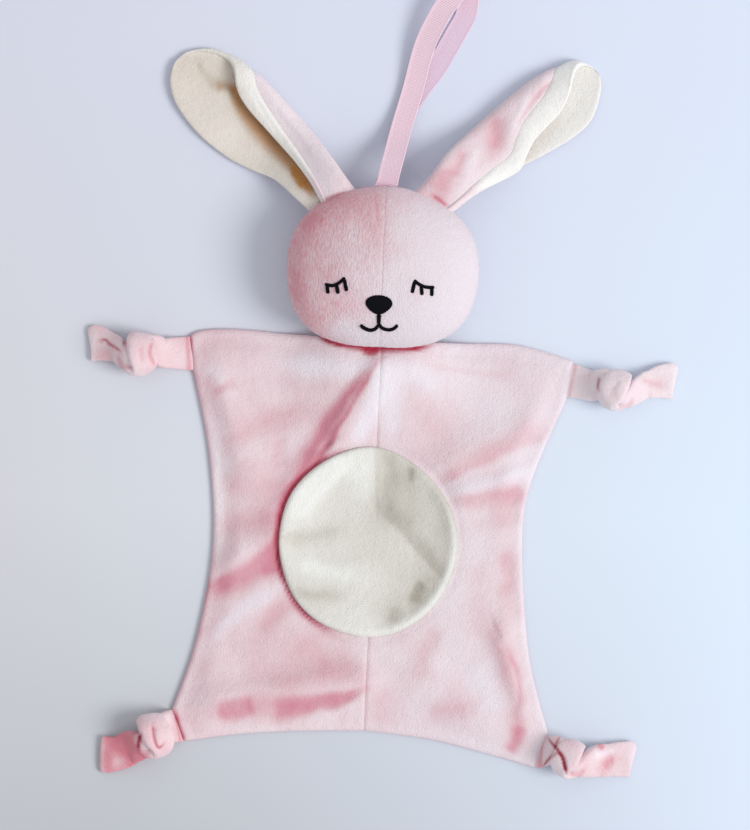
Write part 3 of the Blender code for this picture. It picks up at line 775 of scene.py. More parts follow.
@dataclass(frozen=True)
class Grosgrain(Finish):
    """Woven ribbon with fine ribs across it and firm edges."""

    light: Colour
    deep: Colour
    far: Colour
    pitch: float
    yarns: int = 11

    def mixed(self, r: Recipe) -> bpy.types.Material:
        """Ribs across the ribbon, two selvages and a slight unevenness.

        Args:
            r: the recipe.

        Returns:
            The material.
        """
        rib, yarn = r.ribs("run", self.pitch), r.ribs("side", 1 / self.yarns)
        edge = r.mark("warm")
        shade = 0.3 - rib * 0.28 + r.grain(1.2 * MM) * 0.3 + r.mark("deep") - edge * 0.3
        base = r.blend(shade.clamped(), srgb(self.light), srgb(self.deep))
        # The strand underneath takes the far colour, a painted shade.
        base = r.blend((r.mark("pale") * 0.8).clamped(), base, srgb(self.far))
        height = rib * (1 - edge) * 0.5 + yarn * 0.14
        return r.surface(
            Base_Color=base,
            Roughness=0.6,
            Normal=r.bump(height, 0.3 * MM, 0.7),
            Sheen_Weight=0.15,
        )


@dataclass(frozen=True)
class Fibre(Finish):
    """Loose fibre filling."""

    colour: Colour
    shade: Colour

    def mixed(self, r: Recipe) -> bpy.types.Material:
        """Crimped fibres in small clumps.

        Args:
            r: the recipe.

        Returns:
            The material.
        """
        clump = r.grain(6 * MM, 4.0)
        hair = r.grain(0.7 * MM, 4.0, (1.0, 0.3, 1.0))
        share = (clump * 0.8 + hair * 0.6 + 0.4).clamped()
        return r.surface(
            Base_Color=r.blend(share, srgb(self.colour), srgb(self.shade)),
            Roughness=0.95,
            Normal=r.bump(clump + hair, 1.5 * MM, 0.8),
        )


@dataclass(frozen=True)
class TableLightFalloff:
    """Matt top with painted light fall-off, from grey lilac on the left to pale blue on the right.

    Each pair is the left and the right colour: beside the toy, behind it and in front of it. The
    fades are how far each change reaches, in metres.
    """

    beside: tuple[Colour, Colour] = ((211, 212, 217), (225, 239, 254))
    behind: tuple[Colour, Colour] = ((213, 215, 228), (223, 233, 250))
    before: tuple[Colour, Colour] = ((191, 194, 199), (224, 235, 252))
    fade_across: float = 0.45
    fade_behind: float = 0.26
    fade_before: float = 0.2

    def material(self) -> bpy.types.Material:
        """Mixes the painted light fall-off.

        Returns:
            The material.
        """
        r = Recipe("painted table")
        split = r.node("ShaderNodeSeparateXYZ", {}, {0: r.place()})
        x, y = Level(r, split.outputs[0]), Level(r, split.outputs[1])
        across = (x * (1 / self.fade_across) + 0.5).clamped()
        behind = (y * (1 / self.fade_behind) - 0.1).clamped()
        before = (y * (-1 / self.fade_before) + 0.1).clamped()
        middle = r.blend(across, *map(srgb, self.beside))
        far = r.blend(across, *map(srgb, self.behind))
        near = r.blend((across * across).clamped(), *map(srgb, self.before))
        colour = r.blend(before, r.blend(behind, middle, far), near)
        return r.surface(Base_Color=colour, Roughness=0.75)


# Each plush finish: name, slot, then its light, deep, pale and warm colours.
# The deep and warm colours also serve as painted shade and painted crease shadow, and the pale colour as
# painted light.
PINK, LIMB_PINK, EAR_PINK, FACE, CREAM, LINING = (
    Plush(name, slot, *colours)
    for name, slot, *colours in (
        ("pink plush", Slot.PINK, (238, 222, 226), (213, 142, 157), (240, 233, 241), (176, 44, 70)),
        ("knotted pink plush", Slot.PINK, (241, 223, 227), (220, 132, 146), (245, 235, 241), (150, 26, 52)),
        ("pale pink plush", Slot.PINK, (236, 219, 224), (220, 156, 168), (242, 230, 235), (190, 60, 84)),
        (
            "brushed pink plush", Slot.PINK,
            (233, 217, 223), (220, 149, 159), (230, 223, 230), (150, 40, 70), 1.3, 0.34,
        ),
        ("cream plush", Slot.CREAM, (232, 229, 221), (180, 174, 162), (243, 243, 239), (150, 92, 38)),
        ("pale cream plush", Slot.CREAM, (238, 230, 222), (196, 184, 168), (247, 246, 243), (184, 128, 72)),
    )
)
THREAD = SatinThread("navy thread", Slot.THREAD, (2, 2, 7), (13, 14, 24), 0.42 * MM)
RIBBON = Grosgrain("pink ribbon", Slot.RIBBON, (246, 218, 230), (220, 178, 197), (233, 207, 228), 1.3 * MM)
FIBRE = Fibre("white fibre", Slot.FIBRE, (246, 246, 244), (214, 214, 214))


# The blanket


@dataclass
class Half:
    """One half of the blanket in plan: its places and how far they lie from each seam."""

    x: Array
    y: Array
    from_side: Array
    from_hem: Array
    from_neck: Array
    from_seam: Array

    def spots(self) -> Array:
        """The places as points."""
        return on_plane(self.x, self.y)

    def edge(self) -> Array:
        """How far the places lie from the nearest outer seam."""
        return np.minimum(np.minimum(self.from_side, self.from_hem), self.from_neck)

    def size(self) -> Pixel:
        """The width and length of the whole half."""
        return (float(np.ptp(self.x)), float(np.ptp(self.y)))


@dataclass
class Blanket:
    """The flat body: a back panel, two front panels and the round belly patch.

    The outlines and the folds are shares of the half width and half length. A fold is a row of its
    start, end and height, and its width on the steep and on the gentle side. The outline of the
    patch and all strokes are pixels of the photograph.
    """

    half_width: float = 115.5 * MM
    half_length: float = 122 * MM
    edge_roll: float = 18 * MM
    puff: float = 2.6 * MM
    sag: float = 1.7 * MM
    sag_width: float = 26 * MM
    fold_height: float = 6 * MM
    fold_width: float = 15 * MM
    step: float = 1.9 * MM
    seam_steps: tuple = (0, 0.12, 0.4, 0.85, 1.5, 2.3, 3.4, 4.8)
    roll: float = 2.7 * MM
    hem_swell: float = 0.35 * MM
    thinnest: float = 0.02 * MM
    least_cloth: float = 0.8 * MM
    seam_slit: float = 0.03 * MM
    seam_groove: float = 0.45 * MM
    patch_groove: float = 0.7 * MM
    patch_size: Pixel = (107.5 * MM, 114 * MM)
    patch_middle: Pixel = (-2.3 * MM, 1.1 * MM)
    patch_rings: tuple = (0, 0.1, 0.35, 0.8, 1.4, 2.1, 2.9, 3.8, 5)
    patch_sides: int = 180
    patch_gathers: int = 62
    patch_gather_depth: float = 0.13 * MM
    neck_flat: float = 16 * MM
    neck_fade: float = 62 * MM
    neck_fade_length: float = 74 * MM
    left_outline: Table = (
        (
            (-0.937, -1.005), (-1.002, -0.851), (-0.894, -0.506), (-0.829, -0.04),
            (-0.869, 0.406), (-0.973, 0.82), (-1.002, 0.986),
        ),
        ((-1.002, 0.986), (-0.93, 1.018), (-0.75, 1.03), (-0.45, 1.017), (0, 1.006)),
        ((-0.937, -1.005), (-0.65, -0.958), (-0.38, -0.932), (0, -0.912)),
    )
    right_outline: Table = (
        (
            (0.89, -1.055), (0.955, -0.884), (0.835, -0.496), (0.776, 0.05),
            (0.81, 0.35), (0.97, 0.756), (0.997, 0.948),
        ),
        ((0.997, 0.948), (0.8, 0.998), (0.65, 1.017), (0.4, 1.01), (0, 1.006)),
        ((0.89, -1.055), (0.61, -0.993), (0.333, -0.94), (0, -0.912)),
    )
    folds: Table = (
        ((0.02, 0.93), (-0.2, 0.55), 0.62, 0.5, 1.0),
        ((-0.3, 0.42), (-0.42, 0.3), 0.3, 0.5, 0.9),
        ((-0.52, 0.0), (-0.8, -0.12), 0.7, 1.0, 0.6),
        ((0.42, 0.42), (0.86, 0.62), 0.62, 0.6, 0.9),
        ((0.47, 0.27), (0.78, 0.36), 0.5, 0.55, 0.7),
        ((-0.76, -0.8), (-0.04, -0.66), 0.62, 0.8, 0.7),
        ((0.7, -0.45), (0.84, -0.74), 0.5, 0.5, 0.8),
        ((-0.66, 0.36), (-0.84, 0.7), 0.45, 0.8, 1.0),
        ((0.3, -0.62), (0.6, -0.86), 0.35, 0.9, 0.9),
    )
    # Fold creases and ridges; their deep and warm tints are painted shade, their pale tints painted light.
    strokes: Table = (
        ((384, 354, 366, 376, 346, 401, 331, 427, 317, 452, 300, 484), 3, 0, 0.56, 0, 0, 8.6, 3.2, -0.2),
        ((376, 361, 367, 380, 350, 409, 335, 433, 322, 454, 310, 470, 297, 486), 1.3, -0.3, 0.45, 0, 0.2),
        ((362, 378, 344, 400, 327, 424, 314, 450, 302, 474, 289, 498), 2.6, -0.2, 0.26, 0, 0.03, 2.4, 2,
          -0.4),
        ((386, 362, 377, 392, 366, 420, 348, 446), 5.5, 0.45, 0, 1, 0, 0, 3),
        ((222, 446, 250, 429, 280, 417, 314, 408), 7.5, -0.5, 0.27),
        ((276, 438, 282, 470), 5, -0.3, 0.24),
        ((202, 366, 216, 372, 226, 384), 5, 0.5, 0, 0.5),
        ((214, 394, 238, 380), 3, -0.3, 0.22),
        ((205, 478, 240, 490, 284, 488), 7, -0.5, 0.14),
        ((212, 530, 250, 520, 276, 506), 9, -0.3, 0.26),
        ((304, 470, 286, 498, 279, 524, 277, 550, 281, 578), 2.4, -0.5, 0.8, 0, 0.3),
        ((204, 592, 232, 579, 258, 564, 288, 544), 6.4, -0.8, 0.76, 0, 0, 9.6, 3, -0.2),
        ((262, 574, 284, 566), 4, -0.4, 0.4),
        ((292, 478, 276, 505, 268, 540, 262, 560), 8, 0, 0.26),
        ((206, 644, 240, 612, 280, 588), 5.5, 0.6, 0, 0.8),
        ((258, 634, 286, 606, 316, 612), 6, -0.6, 0.32),
        ((296, 606, 318, 626, 342, 640), 2.4, -0.4, 0.28),
        ((215, 711, 236, 708, 258, 703), 6.6, -0.8, 0.78, 0, 0, 0, 3.4),
        ((262, 709, 300, 706, 336, 700, 366, 688), 8, -1.1, 0.8, 0, 0, 3, 3.4),
        ((296, 636, 328, 660, 356, 680), 10, -0.2, 0.22),
        ((500, 636, 514, 690, 516, 744), 6.5, -0.2, 0.2),
        ((262, 682, 300, 680, 344, 668), 9, 0.3, 0.24),
        ((236, 640, 290, 655, 340, 680), 26, 0, 0.14),
        ((216, 400, 220, 480, 217, 560), 7, 0, -0.2, 0.1),
        ((285, 362, 330, 366, 372, 368, 396, 365), 8, 0, -0.34, 0.5),
        ((394, 370, 391, 400, 387, 436), 7, 0, -0.1, 0.6),
        ((324, 452, 306, 474), 5, 0, 0.3),
        ((440, 690, 480, 712), 12, 0, 0.14),
        ((500, 460, 512, 560, 508, 640, 522, 706), 10, 0, 0.13),
        ((436, 483, 476, 462, 516, 444, 552, 430), 3.4, -0.7, 0.36, 0, 0, 8.4, 2.4, 0.35),
        ((455, 492, 490, 480, 534, 470), 3, 0.7, 0, 0.55),
        ((452, 500, 490, 496, 532, 489), 5, -0.6, 0.38, 0, 0, 6.4, 2.6, -0.35),
        ((466, 524, 500, 520, 530, 512), 6, -0.3, 0.16),
        ((426, 366, 466, 371, 512, 377), 2.4, -0.4, 0.14),
        ((404, 372, 422, 378, 436, 392), 7, 0.5, 0, 0.7),
        ((420, 410, 440, 440, 452, 470), 7, -0.3, 0.1),
        ((504, 548, 507, 574, 504, 600), 5, -0.4, 0.26),
        ((470, 560, 478, 610, 480, 650), 9, -0.2, 0.12),
        ((440, 622, 426, 650, 418, 684), 7, -0.5, 0.28),
        ((470, 664, 488, 690, 492, 716), 8, 0.4, 0, 0.5),
        ((506, 648, 517, 670, 520, 694, 515, 716), 1.6, -0.9, 0.24),
        ((520, 724, 516, 738, 507, 754), 4.4, -0.7, 0.66),
        ((426, 708, 446, 711, 468, 707), 6, -0.2, 0.18),
        ((363, 350, 370, 353, 377, 351), 1.6, -0.4, 0.7, 0, 0.8),
        ((190, 336, 191, 350, 192, 368), 1.1, -0.4, 0.7, 0, 0.5),
        ((175, 712, 180, 730, 185, 742), 1.4, -0.4, 0.7, 0, 0.6),
    )
    patch_outline: tuple = (
        458.6, 542, 453.5, 516, 442, 493, 419, 468, 402, 456.5, 386, 449, 370.5, 446.5, 353, 449,
        334, 456.5, 309.5, 472, 290, 495, 282, 519, 279, 540, 283, 569, 295, 599, 313, 618, 339, 631,
        369, 637, 396, 633, 419, 620, 442, 596, 453, 571,
    )
    # The patch's creases and ridges, with painted shade and light in their tints.
    patch_strokes: Table = (
        ((376.5, 448, 377, 480, 377, 522), 1.2, -0.35, 0.2),
        ((366, 440, 364, 470, 358, 506), 6.5, 0.5, 0, 0.6),
        ((340, 462, 352, 470, 360, 480), 9, 0.3, 0, 0.45),
        ((385, 446, 390, 476, 384, 520), 5, -0.6, 0.4),
        ((398, 462, 408, 496, 402, 530), 9, -0.3, 0.25),
        ((346, 452, 316, 486, 288, 520), 8, 0.9, 0, 1.2, 0, 0, 3),
        ((286, 540, 312, 536, 342, 530), 4, -0.5, 0.3),
        ((290, 562, 326, 572, 360, 576), 6, 0.6, 0, 0.8),
        ((352, 606, 362, 620, 372, 632), 7, 0.3, 0, 0.4),
        ((290, 590, 316, 594, 342, 597), 3.5, -0.5, 0.34),
        ((378, 508, 402, 530, 424, 556, 446, 582), 4.4, -0.9, 0.42, 0, 0, 4.4, 2, 0.55),
        ((404, 520, 426, 544, 444, 566), 4.5, 0.5, 0, 0.3),
        ((424, 580, 416, 590, 411, 604), 4.6, -1.2, 0.8, 0, 0, 0, 2, 0.3),
        ((396, 604, 390, 624), 4.6, -0.6, 0.5),
        ((411, 467, 411, 482), 2, -0.8, 0.6),
        ((428, 480, 442, 512, 444, 540), 5.5, -0.2, 0.24),
    )

    def scaled(self, shares: Sequence[Pixel]) -> Array:
        """Places from shares of the half width and half length."""
        return np.array(shares, float) * (self.half_width, self.half_length)

    def side_line(self, shares: Sequence[Pixel]) -> Array:
        """A fine line up one side: two straight seams with the curve between them.

        Args:
            shares: the side's outline.

        Returns:
            Places from the leg to the arm.
        """
        corners = self.scaled(shares)
        t = np.linspace(0, 1, 24)[:, None]
        curve = evenly(corners[1:-1], np.linspace(0, 1, 400))
        leg = corners[0] * (1 - t) + corners[1] * t
        arm = corners[-2] * (1 - t) + corners[-1] * t
        return np.concatenate([leg[:-1], curve, arm[1:]])

    def half(self, side: tuple, top: tuple, hem: tuple) -> Half:
        """One half in plan, close-meshed along every seam.

        Args:
            side: the outer side's shares.
            top: the neck edge's shares, from the side to the middle.
            hem: the hem's shares, from the side to the middle.

        Returns:
            Places, and their distances from each edge.
        """
        fine = [step * MM for step in self.seam_steps]
        v = graded(2 * self.half_length, self.step, fine)
        u = graded(0.9 * self.half_width, self.step, fine)
        outer = read_at(self.side_line(side), v)
        above, below = evenly(self.scaled(top), u), evenly(self.scaled(hem), u)
        seam = below[-1] + (above[-1] - below[-1]) * v[:, None]
        across, up = u[None, :, None], v[:, None, None]
        plan = below[None] * (1 - up) + above[None] * up
        plan = plan + outer[:, None] * (1 - across) + seam[:, None] * across
        lower = below[0] * (1 - across) + below[-1] * across
        upper = above[0] * (1 - across) + above[-1] * across
        plan = plan - lower * (1 - up) - upper * up
        wide = np.linalg.norm(outer - seam, axis=1)[:, None]
        tall = np.linalg.norm(above - below, axis=1)[None, :]
        u, v = u[None, :], v[:, None]
        return Half(plan[..., 0], plan[..., 1], u * wide, v * tall, (1 - v) * tall, (1 - u) * wide)

    def neck_height(self, half: Half) -> Array:
        """How far the cloth is lifted to its seam under the chin.

        Args:
            half: the places.

        Returns:
            Heights.
        """
        away = (np.abs(half.x - HEAD.x) - self.neck_flat) / (self.neck_fade - self.neck_flat)
        down = (HEAD.neck_y - half.y) / self.neck_fade_length
        lift = HEAD.underside() - 2 * FABRIC - 2 * SEAM_GAP
        return lift * (1 - ease(away)) * (1 - ease(down))

    def ridges(self, half: Half) -> Array:
        """The height of the main folds.

        Args:
            half: the places.

        Returns:
            Heights.
        """
        x, y, total = half.x, half.y, np.zeros_like(half.x)
        for start, end, high, steep, gentle in self.folds:
            (ax, ay), (bx, by) = self.scaled((start, end))
            dx, dy = bx - ax, by - ay
            t = np.clip(((x - ax) * dx + (y - ay) * dy) / (dx * dx + dy * dy), 0, 1)
            away = np.hypot(x - ax - dx * t, y - ay - dy * t) / self.fold_width
            side = np.where(dx * (y - ay) - dy * (x - ax) < 0, steep, gentle)
            total += self.fold_height * high * bell(away / side, 1.0)
        return total

    def inside_patch(self, half: Half) -> Array:
        """The distance inside an oval as large as the patch.

        Args:
            half: the places.

        Returns:
            Distances, less than 0 outside the oval.
        """
        wide, tall = self.patch_size[0] / 2, self.patch_size[1] / 2
        dx, dy = half.x - self.patch_middle[0], half.y - self.patch_middle[1]
        return (1 - np.hypot(dx / wide, dy / tall)) * (wide + tall) / 2

    def beyond_patch(self, half: Half) -> Array:
        """How far places lie outside the patch's outline, seen from above.

        Args:
            half: the places.

        Returns:
            Distances, less than 0 inside the outline.
        """
        dx, dy = half.x - self.patch_middle[0], half.y - self.patch_middle[1]
        return np.hypot(dx, dy) - self.patch_reach(np.arctan2(dy, dx).ravel()).reshape(dx.shape)

    def patch_reach(self, angle: Array) -> Array:
        """How far the patch reaches from its middle.

        Args:
            angle: directions in radians.

        Returns:
            A distance for each, with the outline's corners softened.
        """
        spots = PHOTO.run(self.patch_outline) - np.array(self.patch_middle)
        turns = np.arctan2(spots[:, 1], spots[:, 0])
        near = np.radians(np.arange(-8, 9, 2))[:, None]
        reach = np.hypot(spots[:, 0], spots[:, 1])
        return np.interp(angle + near, turns, reach, period=FULL_TURN).mean(axis=0)

    def underside(self, half: Half) -> Array:
        """The level of the front cloth's underside.

        Args:
            half: the places.

        Returns:
            Levels.
        """
        roll = self.edge_roll
        inner = ease(half.from_side / roll) * ease(half.from_hem / roll) * ease(half.from_neck / roll)
        rise = self.puff + self.ridges(half) - self.sag * ease(self.inside_patch(half) / self.sag_width)
        return self.neck_height(half) + FABRIC + SEAM_GAP + rise * inner

    def open_share(self, half: Half) -> Array:
        """How open the two layers are: 0 at an outer seam, 1 past the rolled edges."""
        side, hem, neck = half.from_side, half.from_hem, half.from_neck
        return rolled(side, self.roll) * rolled(hem, self.roll) * rolled(neck, self.roll)

    def seam_level(self, half: Half) -> Array:
        """The level where the front and the back meet."""
        return self.neck_height(half) + FABRIC + SEAM_GAP / 2

    def puckers(self, half: Half) -> Array:
        """Small gathers that run in from the seams, and the plush's unevenness.

        Args:
            half: the places.

        Returns:
            Heights.
        """
        wander = mottle(half.spots(), (2.2, 21, 3))
        total = np.zeros_like(wander)
        # Places along a seam, the distance from it, then the gathers' spacing, drift, width and height.
        for along, away, spacing, drift, width, height in (
            (half.y, half.from_side, 2.1, 2, 9, 0.16),
            (half.x, half.from_hem, 2.4, 2, 8, 0.18),
            (half.x, half.from_neck, 2.2, 2, 8, 0.14),
            (half.y, half.from_seam, 1.9, 3, 5, 0.12),
        ):
            waves = np.cos(along / (spacing * MM) + wander * drift) * bell(away, width * MM)
            total = total + waves * height
        return (total + mottle(half.spots(), (0.16, 9, 5), (0.3, 17, 6))) * MM

    def levels(self, half: Half, rise: Array) -> tuple[Array, Array]:
        """The levels of a front panel's two faces.

        Args:
            half: its half in plan.
            rise: what its strokes add.

        Returns:
            The top and the underside.
        """
        edge, low = half.edge(), self.underside(half)
        away = ease(edge / (6 * MM))
        top = low + FABRIC + self.puckers(half) * away + rise * away
        top = top + self.hem_swell * bell(edge - 3.4 * MM, 2.6 * MM)
        top = top + mottle(half.spots(), (0.7 * MM, 34, 18)) * ease(edge / (16 * MM))
        top = top - self.seam_groove * bell(half.from_seam, 1.1 * MM)
        top = top - self.patch_groove * bell(self.inside_patch(half) + 1.0 * MM, 2.2 * MM)
        seam, share = self.seam_level(half), self.open_share(half)
        top = seam + (top - seam) * share
        low = seam + (np.minimum(low, top - self.least_cloth) - seam) * share
        return top, np.minimum(low, top - self.thinnest)

    def front_marks(self, half: Half, relief: Relief, normal: Array) -> Grids:
        """The tints of a front panel: strokes, slopes, seams and the shade of what lies on it.

        Args:
            half: its half in plan.
            relief: its strokes.
            normal: where each place faces.

        Returns:
            Values by mark.
        """
        x, edge, spots = half.x, half.edge(), half.spots()
        # Masks for painted light on the right side, and for painted shade under the chin and beside the
        # patch's left edge.
        lit = ease((x + 0.02) / 0.08)
        chin = HEAD.outside(x, half.y)
        under = ease((x + 40 * MM) / (8 * MM)) * ease((34 * MM - x) / (14 * MM))
        beyond = self.beyond_patch(half)
        west = ease((self.patch_middle[0] - x) / (self.patch_size[0] / 2) / 0.5 - 0.4)
        # Painted shade on slopes that face left or towards the head and on the left side, with random tone
        # and darker seams and edges.
        deep = 0.1 + 0.5 * np.clip(-normal[..., 0] - 0.06, 0, 1) + relief.deep
        deep += 0.1 * np.clip(normal[..., 1], 0, 1) + 0.12 * bell(half.from_seam, 0.8 * MM)
        deep += mottle(spots, (0.16, 30, 8), (0.1, 11, 10))
        deep += 0.08 * bell(edge, 1.0 * MM) + 0.05 * ease((-x - 0.02) / 0.08)
        deep += 0.4 * bell(chin, 2.0 * MM) * under + 0.7 * bell(beyond - 1.0 * MM, 2.0 * MM) * west
        # Painted light on slopes that face right and on the right side; paler just inside the edge.
        pale = relief.pale + 0.6 * np.clip(normal[..., 0] - 0.1, 0, 1) + mottle(spots, (0.25, 26, 9))
        pale += 0.15 * bell(edge - 3 * MM, 3 * MM) - 1.2 * relief.deep + 0.3 * lit
        # Warm: painted shadow lines under the chin and beside the patch's left edge.
        warm = relief.warm + 1.3 * bell(chin - 0.5 * MM, 1.5 * MM) * under
        warm += 0.75 * bell(beyond - 1.3 * MM, 1.1 * MM) * west
        return tinted(deep=deep, pale=pale, warm=warm, side=0.4 + 0 * deep)

    def front(self, side: str, sign: float, half: Half) -> Piece:
        """One front panel.

        Args:
            side: left or right.
            sign: -1 for the left panel and 1 for the right one.
            half: its half in plan.

        Returns:
            The piece.
        """
        relief = Relief.of(self.strokes, half.spots())
        top, low = self.levels(half, relief.rise)
        x = half.x + sign * self.seam_slit * bell(half.from_seam, 1.0 * MM)
        above, below = (np.stack([x, half.y, level], axis=-1) for level in (top, low))
        marks = self.front_marks(half, relief, grid_normals(above))
        draft, size = Draft().sheet(above, below, **marks), half.size()
        piece = draft.build(f"blanket_{side}_cloth", f"body_front_{side}", PINK, Body.BLANKET)
        min(area_of(above), size[0] * size[1])
        return piece

    def back(self, left: Half, right: Half) -> Piece:
        """The back panel, which lies on the floor and rises to the rolled seams.

        Args:
            left: the left half in plan.
            right: the right half in plan.

        Returns:
            The piece.
        """
        pairs = zip(vars(left).values(), vars(right).values(), strict=True)
        whole = Half(*(np.concatenate([a, b[:, -2::-1]], axis=1) for a, b in pairs))
        lift, seam, share = self.neck_height(whole), self.seam_level(whole), self.open_share(whole)
        spots, edge = whole.spots(), whole.edge()
        wave = (0.55 + mottle(spots, (0.55, 24, 11))) * MM * ease(edge / (14 * MM))
        low = seam + (lift + wave - seam) * share
        top = np.maximum(low + self.thinnest, seam + (lift + wave + FABRIC - seam) * share)
        above, below = (np.stack([whole.x, whole.y, level], axis=-1) for level in (top, low))
        marks = tinted(deep=0.2 + mottle(spots, (0.25, 22, 12)) + 0.4 * bell(edge, 1.5 * MM))
        draft = Draft().sheet(above, below, **marks)
        piece = draft.build("blanket_back_cloth", "body_back", PINK, Body.BLANKET)
        size = whole.size()
        min(area_of(below), size[0] * size[1])
        return piece

    def patch(self, under: list[Piece]) -> None:
        """The round patch, with its edge turned under into a soft rim.

        Args:
            under: the front panels that it lies on; not used.
        """
        wide, tall = self.patch_size[0] / 2, self.patch_size[1] / 2
        depth = np.concatenate([np.array(self.patch_rings) * MM, np.linspace(6.8, 54, 27) * MM])
        share = 1 - depth / ((wide + tall) / 2)
        angle = np.linspace(0, FULL_TURN, self.patch_sides + 1)[:-1]
        reach = self.patch_reach(angle)
        x = self.patch_middle[0] + reach * share[:, None] * np.cos(angle)
        y = self.patch_middle[1] + reach * share[:, None] * np.sin(angle)
        inside = np.broadcast_to(depth[:, None], x.shape)
        places, far = on_plane(x, y), np.full_like(x, FAR)
        relief = Relief.of(self.patch_strokes, places)
        facing = np.clip(np.cos(angle + math.radians(32)), 0, 1)[None, :]
        base = self.underside(Half(x, y, far, far, far, far)) + FABRIC
        crest = (0.35 + 1.0 * facing) * MM * bell(inside - 3.2 * MM, 3.0 * MM)
        gathers = np.cos(angle * self.patch_gathers + mottle(places, (3, 15, 14)))
        crest = crest + relief.rise + gathers * bell(inside - 2 * MM, 5 * MM) * self.patch_gather_depth
        top = base + SEAM_GAP + FABRIC + crest + mottle(places, (0.22 * MM, 14, 15))
        level = base + 0.1 * MM
        top = level + (top - level) * rolled(inside * 1.1, self.roll)
        above = np.stack([x, y, top], axis=-1)
        below = np.stack([x, y, np.minimum(level, top - self.thinnest)], axis=-1)
        slope = np.gradient(top, axis=0) / np.maximum(np.abs(np.gradient(-depth))[:, None], TINY)
        tilt = -slope * np.cos(angle)[None, :]
        across = (x - self.patch_middle[0]) / wide
        # Painted shade: deeper on the right half, on slopes that tilt one way across the patch, and in a
        # line along the left edge.
        deep = 0.16 + 0.14 * across + relief.deep + 0.3 * np.clip(-tilt, 0, 1)
        deep += mottle(places, (0.2, 20, 16))
        deep += 0.5 * np.clip(-np.cos(angle), 0, 1)[None, :] * bell(inside, 0.9 * MM)
        # Painted highlight on the rim that faces the lower right, and paler towards the left.
        pale = relief.pale + 1.0 * facing * bell(inside - 2.6 * MM, 3.4 * MM) - 0.15 * across
        marks = tinted(deep=deep, pale=pale - relief.deep)
        draft = Draft().disc(above, below, **marks)
        piece = draft.build("belly_patch_cloth", "belly_patch", CREAM, Body.BLANKET)

    def build(self) -> None:
        """Makes all four cloths."""
        left, right = self.half(*self.left_outline), self.half(*self.right_outline)
        back = self.back(left, right)
        self.patch([self.front("left", -1.0, left), self.front("right", 1.0, right)])


# The head


